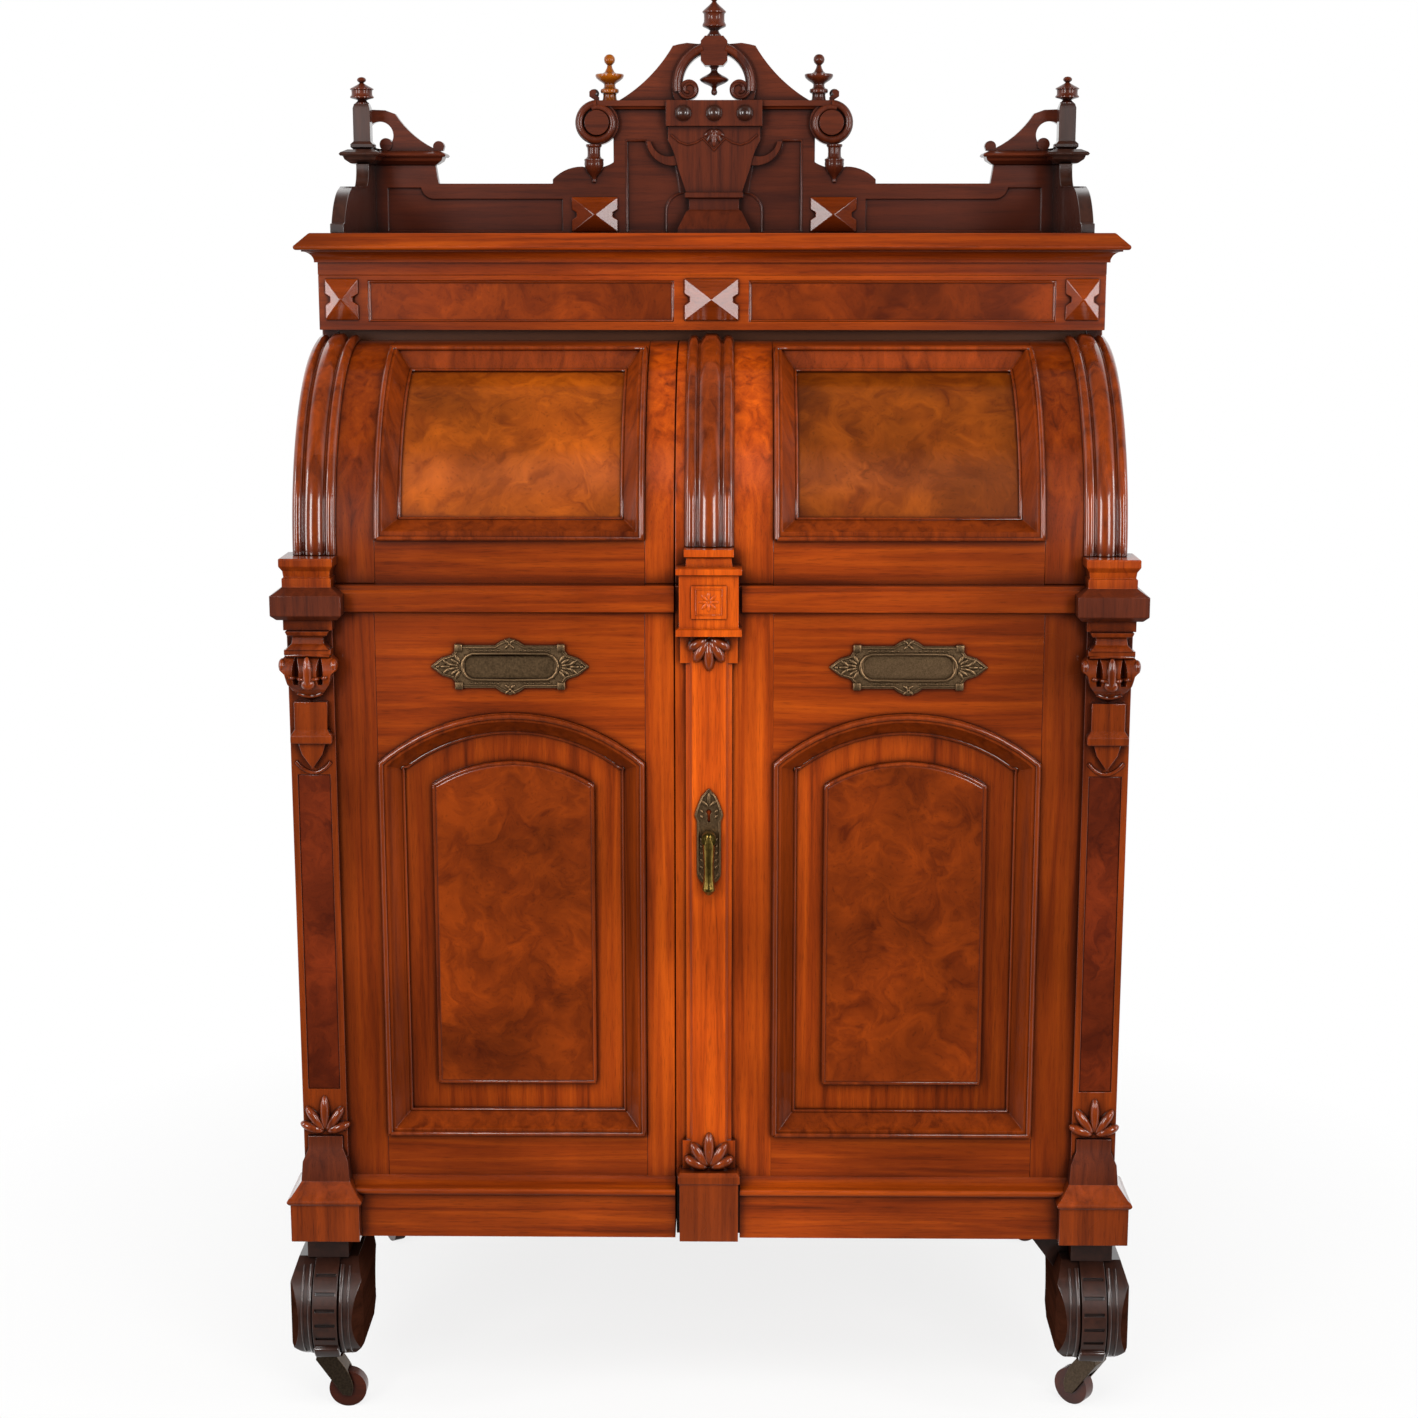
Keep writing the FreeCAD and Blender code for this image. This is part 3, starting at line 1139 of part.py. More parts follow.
def crest_scroll():
    """Pierced pediment: sloped plate, C-shaped bands that end in eyes, the middle block and two tips."""
    z, top, y = CREST_TOP + CAP_H, TOP_Z + PEDIMENT_H, GALLERY_Y - 3
    axis = vec(0, 1, 0)
    plate = outline(at_y(y), (-137, z), (137, z), ((92, z + 34), (59, top - 4)), (51, top - 2), (39, top),
                    (17, top - 2), (-17, top - 2), (-39, top), (-51, top - 2), (-59, top - 4),
                    ((-92, z + 34), (-137, z)))
    plate = plate.extrude(vec(0, GALLERY_T + 1, 0))
    hole = Part.makeCylinder(45, 80, vec(0, y - 40, z + 22), axis)
    hole = hole.common(box(-60, 60, y - 60, y + 60, z - 1, top))
    bands = Part.makeCylinder(60, 7, vec(0, y - 7, z + 22), axis).cut(hole)
    bands = bands.common(box(-70, 70, y - 20, y + 20, z, z + 90))
    eyes = [Part.makeCylinder(14, GALLERY_T + 10, vec(x, y - 9, z + 15), axis) for x in (-36, 36)]
    solid = plate.cut(hole).fuse(bands).fuse(eyes[0]).fuse(eyes[1])
    block = centre_block()
    return [*solid.cut(block).Solids, block, *both_sides([crest_tip()])]


def crest_tip():
    """Small curled tip on the cap, outside a finial."""
    x, z = CREST_HALF + 20, CREST_TOP + CAP_H
    face = outline(at_y(GALLERY_Y), (x, z), (x + 5, z), (x + 14, z + 6), (x + 14, z + 13), (x + 10, z + 16),
                   (x + 5, z + 15), (x + 4, z + 11), (x + 6, z + 8), (x, z + 5))
    return face.extrude(vec(0, GALLERY_T / 2, 0))


def centre_block():
    """Eight-sided block at the head of the pediment."""
    z1 = TOP_Z + KEY_BLOCK_H
    z0 = z1 - KEY_BLOCK_SIDE
    right = ((13, z0), (19, z0 + 7), (19, z1 - 7), (13, z1))
    face = outline(at_y(GALLERY_Y - 15), *right, *[(-x, z) for x, z in reversed(right)])
    return face.extrude(vec(0, GALLERY_T + 18, 0))


def crest_keystone():
    """Shield on the crest: block for the bosses, tapered body with curled ears, and a stepped base."""
    z, y, front = TOP_Z, GALLERY_Y, GALLERY_Y - KEYSTONE_PROUD
    block = box(-69, 69, front, y, z + 150, CREST_TOP)
    block = block.fuse(box(-69, 69, front, y - 14.05, CREST_TOP, CREST_TOP + CAP_H)).removeSplitter()
    body = outline(at_y(y), (-40, z + 57), (40, z + 57), (52, z + 92), ((56, z + 108), (66, z + 130)),
                   (66, z + 150), (-66, z + 150), (-66, z + 130), ((-56, z + 108), (-52, z + 92)))
    ear = outline(at_y(y), (48, z + 97), ((84, z + 104), (97, z + 129)), (91, z + 129),
                  ((82, z + 114), (52, z + 111)))
    ear = ear.extrude(vec(0, -9, 0))
    shield = body.extrude(vec(0, -12, 0)).fuse(ear).fuse(flip(ear)).removeSplitter()
    base = moulded_block(-36, 36, y - 14, y + 14, (16, z), (16, z + 6), (4, z + 30), (0, z + 33), (0, z + 48),
                         (6, z + 50), (6, z + 57))
    return [block, shield, base.cut(box(-100, 100, y, y + 100, z - 1, z + 100))]


def drum_finial(x, y, z, height):
    """Turned finial: neck, flanged drum, cone and bud."""
    shape = ((9, 0), (9, 4), (6, 7), (15, 12), (13.5, 20), (15, 28), (15, 31), (3, 41), (6, 44), (6, 49),
             (2, 52))
    s = height / shape[-1][1]
    return turned(x, y, z, *[(r * s, h * s) for r, h in shape])


def disc_finial(x, y, z):
    """Turned finial: collar, bead, neck, a wide disc, a stem and a bud."""
    return turned(x, y, z, (13, 0), (13, 6), (8, 8), (11, 12), (7, 18), (18, 27), (20.5, 31), (18, 35), (8, 42),
                  (3.5, 50), (8, 55), (8, 60), (2, 65))


def finials():
    """Five turned finials: the middle, two on the crest's cap and two on the corner posts."""
    y = GALLERY_Y + GALLERY_T / 2 - 5
    post_top = TOP_Z + PIER_H + PIER_CAP_H + CORNER_POST_H
    middle = drum_finial(0, y, TOP_Z + KEY_BLOCK_H, FINIAL_H)
    cap = disc_finial(CREST_HALF + 5, y + 3, CREST_TOP + CAP_H)
    corner = drum_finial(CORNER_POST_X, FACE_Y + CORNER_POST_DEPTH, post_top, CORNER_FINIAL_H)
    return [middle, *both_sides([cap, corner])]


def drops_and_bosses():
    """Turned pendants under the pediment block and the volutes, and three bosses."""
    y = GALLERY_Y + GALLERY_T / 2 - 5
    middle = turned(0, y, TOP_Z + KEY_BLOCK_H - KEY_BLOCK_SIDE, (9, 0), (5, -6), (10, -11), (21, -16), (19, -22),
                    (8, -31), (3, -34), (4, -38), (2, -41))
    eye = CREST_TOP + CAP_H - VOLUTE_R
    drop = turned(VOLUTE_X + 5, GALLERY_Y - 2, eye - VOLUTE_R + 1.2, (11, 0), (11, -4), (8, -12), (9, -24),
                  (14, -28), (14, -36), (7, -46), (4, -50), (2, -55))
    drop = drop.cut(box(0, HALF_WIDTH, GALLERY_Y, GALLERY_Y + GALLERY_T, TOP_Z, TOP_Z + 101))
    drop = drop.cut(Part.makeCylinder(VOLUTE_R, 90, vec(VOLUTE_X, GALLERY_Y - 40, eye), vec(0, 1, 0)))
    front = GALLERY_Y - KEYSTONE_PROUD
    bosses = [turned_out(x, front, TOP_Z + 168, (11.5, 0), (10.5, 4), (7.5, 8), (3, 10)) for x in (-44, 0, 44)]
    return [middle, drop, flip(drop), *bosses]


def foot_profile(x, grow):
    """Side outline of a front scroll foot; grow stands the strap off the front."""
    r, g = FOOT_R, FOOT_R + grow
    y, z = FOOT_FRONT + STRAP_PROUD + r, FOOT_BOTTOM + r
    top = CASE_Z - BEAM_H
    return outline(at_x(x), (y + 95, top), (y - 24 - grow, top), ((y - 0.78 * g, z + 0.626 * g), (y - g, z)),
                   ((y - 0.7071 * g, z - 0.7071 * g), (y, z - g)), (y + 0.86 * r, z - 0.35 * r),
                   ((y + 66, z + 34), (y + 95, top)))


def scroll_foot():
    """One front foot: bevelled scroll body and the socket for the caster."""
    body = foot_profile(FOOT_X0, 0).extrude(vec(FOOT_W, 0, 0))
    x0, x1, front = FOOT_X0, FOOT_X1, FOOT_FRONT
    bevel, deep = FOOT_BEVEL, 26
    plan = outline(at_z(0), (x0 + bevel, front - deep), (x1 - bevel, front - deep), (x1 - bevel, front + 3),
                   (x1, front + deep), (x1, 0), (x0, 0), (x0, front + deep), (x0 + bevel, front + 3))
    body = body.common(plan.extrude(vec(0, 0, CASE_Z)))
    low, high = FOOT_BOTTOM, CASE_Z
    face = outline(at_y(front - deep), (FOOT_C - 26, low), (FOOT_C + 26, low), (x1, low + 30),
                   (x1, high - 62), (x1 - 20, high), (x0 + 20, high), (x0, high - 62), (x0, low + 30))
    body = body.common(face.extrude(vec(0, deep - front, 0)))
    socket = Part.makeCylinder(STEM_R + RUNNING_FIT, STEM_LEN + 1, vec(CASTER_X, STEM_Y, FOOT_BOTTOM - 1))
    seat = box(x0, x1, front - deep, 0, 0, FOOT_BOTTOM + SEAT_DEPTH)
    return body.cut(seat).cut(socket)


def foot_strap():
    """Raised band down the front of a foot."""
    x0, x1 = FOOT_C - STRAP_W / 2, FOOT_C + STRAP_W / 2
    band = foot_profile(x0, STRAP_PROUD).extrude(vec(STRAP_W, 0, 0))
    band = band.cut(foot_profile(x0, 0).extrude(vec(STRAP_W, 0, 0)))
    front = box(x0, x1, FOOT_FRONT - STRAP_W, FOOT_FRONT + STRAP_W * 2, FOOT_BOTTOM + 6, CASE_Z - BEAM_H)
    return band.common(front).Solids[0]


def trestle():
    """Right-hand trestle end: two feet, the beam that joins them, a batten and slanted inner braces."""
    foot, strap = scroll_foot(), foot_strap()
    y0, x, inner = FOOT_FRONT + 46, BEAM_X0, BEAM_X0 - BRACE_W
    under = CASE_Z - BATTEN_T
    brace = outline(at_y(y0 + 30), (x, under), (x, CASE_Z - BEAM_H - 46), (inner, under))
    brace = brace.extrude(vec(0, BRACE_T, 0)).cut(foot)
    front = [foot, strap, *brace.Solids]
    rear = [solid.mirror(vec(0, 0, 0), vec(0, 1, 0)) for solid in front]
    beam = box(BEAM_X0, BEAM_X1, y0, -y0, CASE_Z - BEAM_H, CASE_Z)
    batten = box(inner, x, CASE_Y + 20, BACK_Y - 40, under, CASE_Z)
    return [*front, *rear, beam, batten]


def trestle_feet():
    return both_sides(trestle())


def caster_places():
    """Stem axis of each caster and the turn it is drawn at."""
    for name, turn in CASTER_TURN.items():
        x = CASTER_X if name.endswith("right") else -CASTER_X
        y = STEM_Y if name.startswith("front") else -STEM_Y
        yield name, x, y, turn


def caster_horn():
    """Swivel horn: stem, head and two curved cheeks that carry the axle; trails along +X."""
    top = FOOT_BOTTOM + SEAT_DEPTH - SEAT_CLEAR
    inner, t = WHEEL_W / 2 + WHEEL_CLEAR, CASTER_TRAIL
    outer = inner + CHEEK_T
    cheek = outline(at_y(-outer), (-12, top), (12, top), (17, top - 9),
                    ((t - 1, top - 22), (t + 8, WHEEL_R + 4)), (t + 5, WHEEL_R - 8), (t - 6, WHEEL_R - 7),
                    (-14, top - 9))
    horn = cheek.extrude(vec(0, 2 * outer, 0)).cut(box(-60, 90, -inner, inner, 0, 2 * WHEEL_R + 2))
    stem = turned(0, 0, top, (STEM_R, 0), (STEM_R, STEM_LEN - 2))
    axle = turned_out(t, outer, WHEEL_R, (AXLE_R, 0), (AXLE_R, 2 * outer))
    return horn.fuse(stem).fuse(axle).removeSplitter()


def caster_wheel():
    """Wheel on its axle; its tread is drawn with flats that touch the floor."""
    r = across_flats(WHEEL_R, WHEEL_SIDES)
    wheel = turned_out(CASTER_TRAIL, WHEEL_W / 2, WHEEL_R, (r, 0), (r, WHEEL_W), sides=WHEEL_SIDES)
    foot = vec(CASTER_TRAIL, -WHEEL_W / 2, WHEEL_R)
    return wheel.cut(Part.makeCylinder(AXLE_R + RUNNING_FIT, WHEEL_W, foot, vec(0, 1, 0)))


def placed(shape, x, y, turn):
    shape = shape.copy()
    shape.rotate(vec(0, 0, 0), vec(0, 0, 1), turn)
    shape.translate(vec(x, y, 0))
    return shape


def casters():
    nodes = {}
    for name, x, y, turn in caster_places():
        nodes[f"caster_{name}"] = [placed(caster_horn(), x, y, turn)]
        nodes[f"wheel_{name}"] = [placed(caster_wheel(), x, y, turn)]
    return nodes


def case_nodes():
    nodes = {
        "case_sides": case_sides(),
        "burl_panels": burl_panels(),
        "case_shelves": case_shelves(),
        "case_dividers": case_dividers(),
        "case_back": case_back(),
        "case_hinges": case_hinges(),
        "frieze": frieze(),
        "cornice": cornice(),
        "nailhead_blocks": nailhead_blocks(),
        "gallery_boards": gallery_boards(),
        "gallery_mouldings": gallery_mouldings(),
        "gallery_scrolls": gallery_scrolls(),
        "crest_scroll": crest_scroll(),
        "crest_keystone": crest_keystone(),
        "finials": finials(),
        "drops_and_bosses": drops_and_bosses(),
        "writing_lid": [writing_lid()],
        "lid_leather": [lid_leather()],
        "trestle_feet": trestle_feet(),
    }
    for i, (z0, z1) in enumerate(drawer_levels(), start=1):
        nodes[f"drawer_{i}"] = drawer(z0, z1)
    return nodes


def main():
    os.makedirs("parts", exist_ok=True)
    nodes = {**case_nodes(), **left_door(), **right_door(), **casters()}
    for name, solids in nodes.items():
        Part.makeCompound(solids).exportStep(f"parts/{name}.step")


if __name__ == "__main__":
    main()
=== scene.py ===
import json
import math
import bmesh
import bpy
from mathutils import Matrix, Vector
from mathutils.bvhtree import BVHTree

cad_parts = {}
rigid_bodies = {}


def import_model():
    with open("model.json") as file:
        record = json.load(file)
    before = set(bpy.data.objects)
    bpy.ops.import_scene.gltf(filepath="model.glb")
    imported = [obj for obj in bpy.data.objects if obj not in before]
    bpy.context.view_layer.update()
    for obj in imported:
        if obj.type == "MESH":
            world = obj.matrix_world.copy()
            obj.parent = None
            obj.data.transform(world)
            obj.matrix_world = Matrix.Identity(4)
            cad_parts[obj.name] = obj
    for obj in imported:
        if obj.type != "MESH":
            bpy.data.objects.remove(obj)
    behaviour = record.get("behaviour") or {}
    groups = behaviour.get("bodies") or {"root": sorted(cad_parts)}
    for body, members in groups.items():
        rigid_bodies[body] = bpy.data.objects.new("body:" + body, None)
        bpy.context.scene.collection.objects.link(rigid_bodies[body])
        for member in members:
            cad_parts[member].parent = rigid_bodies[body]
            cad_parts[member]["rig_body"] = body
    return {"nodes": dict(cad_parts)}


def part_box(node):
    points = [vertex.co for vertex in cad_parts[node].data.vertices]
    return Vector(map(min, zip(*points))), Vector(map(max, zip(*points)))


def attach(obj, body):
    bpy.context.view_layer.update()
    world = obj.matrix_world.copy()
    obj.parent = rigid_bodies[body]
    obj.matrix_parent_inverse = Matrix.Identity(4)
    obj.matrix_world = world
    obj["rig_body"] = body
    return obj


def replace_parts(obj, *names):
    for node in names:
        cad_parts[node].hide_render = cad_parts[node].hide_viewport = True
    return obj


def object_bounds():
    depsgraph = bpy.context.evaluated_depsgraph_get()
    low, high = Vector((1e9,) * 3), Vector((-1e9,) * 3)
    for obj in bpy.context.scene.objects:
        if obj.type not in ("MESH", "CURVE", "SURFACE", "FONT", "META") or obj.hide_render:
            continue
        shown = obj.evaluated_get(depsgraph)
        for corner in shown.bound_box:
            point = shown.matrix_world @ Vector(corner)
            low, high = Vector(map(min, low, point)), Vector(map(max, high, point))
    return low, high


bl_info = {
    "name": "Cabinet secretary desk",
    "version": (1, 0, 0),
    "blender": (4, 5, 0),
    "location": "3D View > Sidebar > Desk",
    "description": "Finishes a walnut cabinet secretary on casters and sets it in a plain studio",
    "category": "Object",
}

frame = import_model()
CAD_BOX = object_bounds()
MM = 0.001


def mm(*values):
    """Millimetres as metres."""
    return tuple(value * MM for value in values)


def linear(code):
    """sRGB hex colour as linear red, green and blue."""
    parts = [int(code[i:i + 2], 16) / 255 for i in (1, 3, 5)]
    return tuple(c / 12.92 if c <= 0.04045 else ((c + 0.055) / 1.055) ** 2.4 for c in parts)


def colour(name, code, description):
    return bpy.props.FloatVectorProperty(name=name, description=description, subtype="COLOR", size=3,
                                         min=0.0, max=1.0, default=linear(code))


def length(name, millimetres, description):
    return bpy.props.FloatProperty(name=name, description=description, unit="LENGTH",
                                   default=millimetres * MM)


class DeskSizes(bpy.types.PropertyGroup):
    edge_round: length("Edge round", 1.2, "Width of the worn round on the edges of boards and mouldings")
    moulding_round: length("Moulding round", 2.6, "Width of the round on the edges of the door mouldings")
    fine_round: length("Fine edge round", 0.5, "Width of the round on the edges of metal and small carvings")
    camera_side: length("Camera offset", 37, "How far the camera stands to the right of the middle")
    camera_back: length("Camera distance", 2954, "How far the camera stands in front of the doors")
    camera_height: length("Camera height", 1544, "How high the camera stands above the floor")
    strap_width: length("Strap width", 32, "Width of the raised band down the front of a foot")
    foot_width: length("Foot width", 95, "Width of a scroll foot")
    petal_depth: length("Petal depth", 9, "How far the carved petals stand off the face")
    floor_radius: length("Floor radius", 1500, "Where the pale floor has faded into the background")


class DeskColours(bpy.types.PropertyGroup):
    walnut_light: colour("Walnut, light", "#B64C07", "Light streaks of the frames")
    walnut_mid: colour("Walnut, middle", "#8C3304", "Main tone of the frames")
    walnut_dark: colour("Walnut, dark", "#4A1804", "Dark streaks of the frames")
    burl_light: colour("Burl, light", "#953B05", "Light clouds of the burl veneer")
    burl_dark: colour("Burl, dark", "#4C1603", "Dark swirls of the burl veneer")
    upper_light: colour("Upper burl, light", "#B4560B", "Light clouds of the curved upper panels")
    upper_dark: colour("Upper burl, dark", "#632405", "Dark swirls of the curved upper panels")
    strip_light: colour("Strip burl, light", "#7A2C0C", "Light clouds of the strips on the corner posts")
    strip_dark: colour("Strip burl, dark", "#431306", "Dark swirls of the strips on the corner posts")
    deep_light: colour("Aged walnut, light", "#963C0A", "Light streaks of posts and mouldings")
    deep_dark: colour("Aged walnut, dark", "#461504", "Dark streaks of posts and mouldings")
    carved_light: colour("Carved walnut, light", "#6B2C12", "Light streaks of the gallery")
    carved_dark: colour("Carved walnut, dark", "#36130A", "Dark streaks of the gallery")
    amber: colour("Boxwood, amber", "#A8620E", "The one paler turned finial on the crest")
    stained_light: colour("Stained walnut, light", "#482619", "Light streaks of the near-black feet")
    stained_dark: colour("Stained walnut, dark", "#22100A", "Dark streaks of the near-black feet")
    inside_light: colour("Inside walnut, light", "#9A5A2C", "Light streaks of the inside boards")
    inside_dark: colour("Inside walnut, dark", "#5C2E14", "Dark streaks of the inside boards")
    bronze: colour("Bronze", "#A2825F", "Dark bronzed castings")
    brass: colour("Brass", "#A88A45", "Worn brass")
    iron: colour("Iron", "#6A5A4A", "Dark cast iron of the casters")
    leather: colour("Leather", "#2E4A30", "Writing leather on the fall front")
    floor: colour("Floor", "#F4F3F1", "Pale studio floor")


def sizes():
    return bpy.context.scene.desk_sizes


def colours():
    return bpy.context.scene.desk_colours


def rgba(tone):
    return (*tone, 1.0)


def grey(value):
    return (value, value, value)


def mean(a, b):
    return [(x + y) / 2 for x, y in zip(a, b)]


def share(tone, part):
    """A tone darkened to a part of itself."""
    return [c * part for c in tone]


def fit(tree, node, settings=(), **links):
    """Sets a node's properties, sockets or stops; links sockets by name (_ for a space) or number (i0)."""
    for key, value in dict(settings).items():
        if key == "stops":
            band = node.color_ramp.elements
            while len(band) < len(value):
                band.new(0.5)
            for element, (place, tone) in zip(band, value):
                element.position = place
                element.color = rgba(tone)
        elif isinstance(key, int) or key in node.inputs:
            node.inputs[key].default_value = value
        else:
            setattr(node, key, value)
    for key, source in links.items():
        socket = int(key[1:]) if key[0] == "i" and key[1:].isdigit() else key.replace("_", " ")
        tree.links.new(source, node.inputs[socket])


def add(tree, kind, settings=(), out=0, **links):
    """Adds a node with its settings and links, and gives one of its outputs, if it has any."""
    node = tree.nodes.new(f"ShaderNode{kind}")
    fit(tree, node, settings, **links)
    return node.outputs[out] if node.outputs else None


def new_material(name):
    """Material with its node tree, its shader and the place on the object."""
    material = bpy.data.materials.new(name)
    material.use_nodes = True
    tree = material.node_tree
    return material, tree, tree.nodes["Principled BSDF"], add(tree, "TexCoord", out="Object")


# A colour Mix node takes its colours at sockets 6 and 7 and gives the mix at output 2
TIMES = {"data_type": "RGBA", "blend_type": "MULTIPLY", 0: 1.0}


def corner_shade_and_grime(tree, base, dark, reach_mm, most=1.0):
    """Darkens corners and recesses by their ambient occlusion: painted shade, together with the old polish,
    dust and patina that lie there.
    """
    corner = add(tree, "AmbientOcclusion", {"samples": 6, "Distance": reach_mm * MM}, out="AO")
    mask = add(tree, "ValToRGB", {"stops": ((0.35, grey(most)), (0.9, grey(0.0)))}, Fac=corner)
    return add(tree, "Mix", {"data_type": "RGBA", 7: rgba(dark)}, out=2, i0=mask, i6=base)


def stretched(grain, across_mm, along_mm):
    """Scale on the three axes for marks of that width across the grain and that length along it."""
    return [1 / ((along_mm if axis == grain else across_mm) * MM) for axis in "XYZ"]


CLOUD_MM = 260
# Walnut's pores are a quarter as wide; they are drawn as coarse as they need to show
PORE_MM, PORE_RUN_MM = 0.9, 22
HALF_DESK_MM = 520
POLISH_IOR = 1.5


# Walnut, planed, stained red-brown and French polished: long streaks, fine dark pores and a deep gloss
def polished_walnut(name, grain, light, mid, dark, streak_mm=16, run_mm=420, rough=0.27, worn=(1.0, 1.0),
                    coat=0.5, gloss=0.2):
    """Streaks along the grain's axis, under painted light: a pair of factors sets how bright it is in the
    middle, by the lock, and at the sides.
    """
    material, tree, shader, place = new_material(name)
    along = add(tree, "Mapping", {"Scale": stretched(grain, streak_mm, run_mm)}, Vector=place)
    streak = add(tree, "TexNoise", {"Scale": 1.0, "Detail": 7.0, "Roughness": 0.62, "Distortion": 0.7},
                 Vector=along)
    base = add(tree, "ValToRGB", {"stops": ((0.24, dark), (0.45, mid), (0.74, light))}, Fac=streak)
    cloud = add(tree, "TexNoise", {"Scale": 1 / (CLOUD_MM * MM), "Detail": 3.0}, Vector=place)
    shade = add(tree, "ValToRGB", {"stops": ((0.3, grey(0.62)), (0.68, grey(1.12)))}, Fac=cloud)
    base = add(tree, "Mix", TIMES, out=2, i6=base, i7=shade)
    along = add(tree, "Mapping", {"Scale": stretched(grain, PORE_MM, PORE_RUN_MM)}, Vector=place)
    pore = add(tree, "TexNoise", {"Scale": 1.0, "Detail": 2.0}, Vector=along)
    pores = add(tree, "ValToRGB", {"stops": ((0.32, grey(0.55)), (0.44, grey(1.0)))}, Fac=pore)
    base = add(tree, "Mix", {**TIMES, 0: 0.7}, out=2, i6=base, i7=pores)
    # Painted light: brighter in the middle of the desk and falling off towards its sides
    aside = add(tree, "Math", {"operation": "ABSOLUTE"}, i0=add(tree, "SeparateXYZ", i0=place))
    light_falloff = add(tree, "MapRange", {"From Max": HALF_DESK_MM * MM, "To Min": worn[0], "To Max": worn[1]},
               Value=aside)
    base = add(tree, "Mix", TIMES, out=2, i6=base, i7=light_falloff)
    # Painted shade with old polish and dust in corners and recesses: a broad one and a close, darker one
    base = corner_shade_and_grime(tree, corner_shade_and_grime(tree, base, dark, 130, 0.75), share(dark, 0.3), 20)
    sheen = add(tree, "MapRange", {"To Min": rough - 0.05, "To Max": rough + 0.12}, Value=cloud)
    bump = add(tree, "Bump", {"Strength": 0.06, "Distance": 0.4 * MM}, Height=pores)
    fit(tree, shader, {"IOR": POLISH_IOR, "Specular IOR Level": gloss, "Coat Weight": coat,
                       "Coat Roughness": 0.1}, Base_Color=base, Roughness=sheen, Normal=bump)
    return material


FIGURE_MM, EYE_MM, PATCH_MM = 52, 7, 120
SWIRL_PUSH = 90 * MM


# Walnut burl, sawn veneer under French polish: swirls, clouds and small dark eyes
def burl_veneer(name, light, dark, swirl_mm=70, shift=(0.0, 0.0, 0.0)):
    material, tree, shader, place = new_material(name)
    place = add(tree, "Mapping", {"Location": shift}, Vector=place)
    swirl = add(tree, "TexNoise", {"Scale": 1 / (swirl_mm * MM), "Detail": 3.0, "Distortion": 1.2},
                out="Color", Vector=place)
    push = add(tree, "VectorMath", {"operation": "MULTIPLY_ADD", 1: (SWIRL_PUSH,) * 3}, i0=swirl, i2=place)
    figure = add(tree, "TexNoise", {"Scale": 1 / (FIGURE_MM * MM), "Detail": 9.0, "Roughness": 0.58,
                                    "Distortion": 1.0}, Vector=push)
    base = add(tree, "ValToRGB", {"stops": ((0.22, dark), (0.5, mean(light, dark)), (0.78, light))},
               Fac=figure)
    eyes = add(tree, "TexVoronoi", {"Scale": 1 / (EYE_MM * MM), "Randomness": 1.0}, Vector=push)
    spots = add(tree, "ValToRGB", {"stops": ((0.08, grey(0.5)), (0.3, grey(1.0)))}, Fac=eyes)
    base = add(tree, "Mix", {**TIMES, 0: 0.5}, out=2, i6=base, i7=spots)
    cloud = add(tree, "TexNoise", {"Scale": 1 / (PATCH_MM * MM), "Detail": 3.0}, Vector=place)
    shade = add(tree, "ValToRGB", {"stops": ((0.3, grey(0.55)), (0.7, grey(1.25)))}, Fac=cloud)
    base = add(tree, "Mix", TIMES, out=2, i6=base, i7=shade)
    # Painted shade with old polish and dust in corners and recesses: a broad one and a close, darker one
    base = corner_shade_and_grime(tree, corner_shade_and_grime(tree, base, dark, 110, 0.6), share(dark, 0.35), 24)
    fit(tree, shader, {"Roughness": 0.3, "IOR": POLISH_IOR, "Specular IOR Level": 0.2, "Coat Weight": 0.5,
                       "Coat Roughness": 0.12}, Base_Color=base)
    return material


# Cast metal, bronzed, brass or iron: a grainy skin, dull in the hollows and rubbed bright on the ridges
def cast_metal(name, tone, rough, grain_mm):
    material, tree, shader, place = new_material(name)
    skin = add(tree, "TexNoise", {"Scale": 1 / (grain_mm * MM), "Detail": 5.0, "Roughness": 0.6},
               Vector=place)
    base = add(tree, "ValToRGB", {"stops": ((0.3, share(tone, 0.45)), (0.7, tone))}, Fac=skin)
    base = corner_shade_and_grime(tree, base, share(tone, 0.08), 7)
    spread = add(tree, "MapRange", {"To Min": rough - 0.1, "To Max": rough + 0.14}, Value=skin)
    bump = add(tree, "Bump", {"Strength": 0.25, "Distance": 0.2 * MM}, Height=skin)
    fit(tree, shader, {"Metallic": 1.0}, Base_Color=base, Roughness=spread, Normal=bump)
    return material


# Sheepskin has finer pebbles; they are drawn as coarse as they need to show
PEBBLE_MM = 1.6


# Sheepskin leather, dyed and glued down: pebbled grain and a dull sheen
def writing_leather(name, tone):
    material, tree, shader, place = new_material(name)
    pebble = add(tree, "TexVoronoi", {"Scale": 1 / (PEBBLE_MM * MM), "feature": "SMOOTH_F1"}, Vector=place)
    patch = add(tree, "TexNoise", {"Scale": 1 / (PATCH_MM * MM), "Detail": 4.0}, Vector=place)
    base = add(tree, "ValToRGB", {"stops": ((0.35, share(tone, 0.6)), (0.65, tone))}, Fac=patch)
    bump = add(tree, "Bump", {"Strength": 0.3, "Distance": 0.3 * MM}, Height=pebble)
    fit(tree, shader, {"Roughness": 0.55}, Base_Color=base, Normal=bump)
    return material


def made_once(name, make, *args, **settings):
    """The material of that name, made on its first use."""
    return bpy.data.materials.get(name) or make(name, *args, **settings)


def tones(kind):
    """Light, middle and dark tone of a wood."""
    light, dark = (getattr(colours(), f"{kind}_{end}") for end in ("light", "dark"))
    return light, getattr(colours(), f"{kind}_mid", mean(light, dark)), dark


def timber(name, grain, kind, **finish):
    """Walnut in the tones of a kind."""
    return made_once(name, polished_walnut, grain, *tones(kind), **finish)


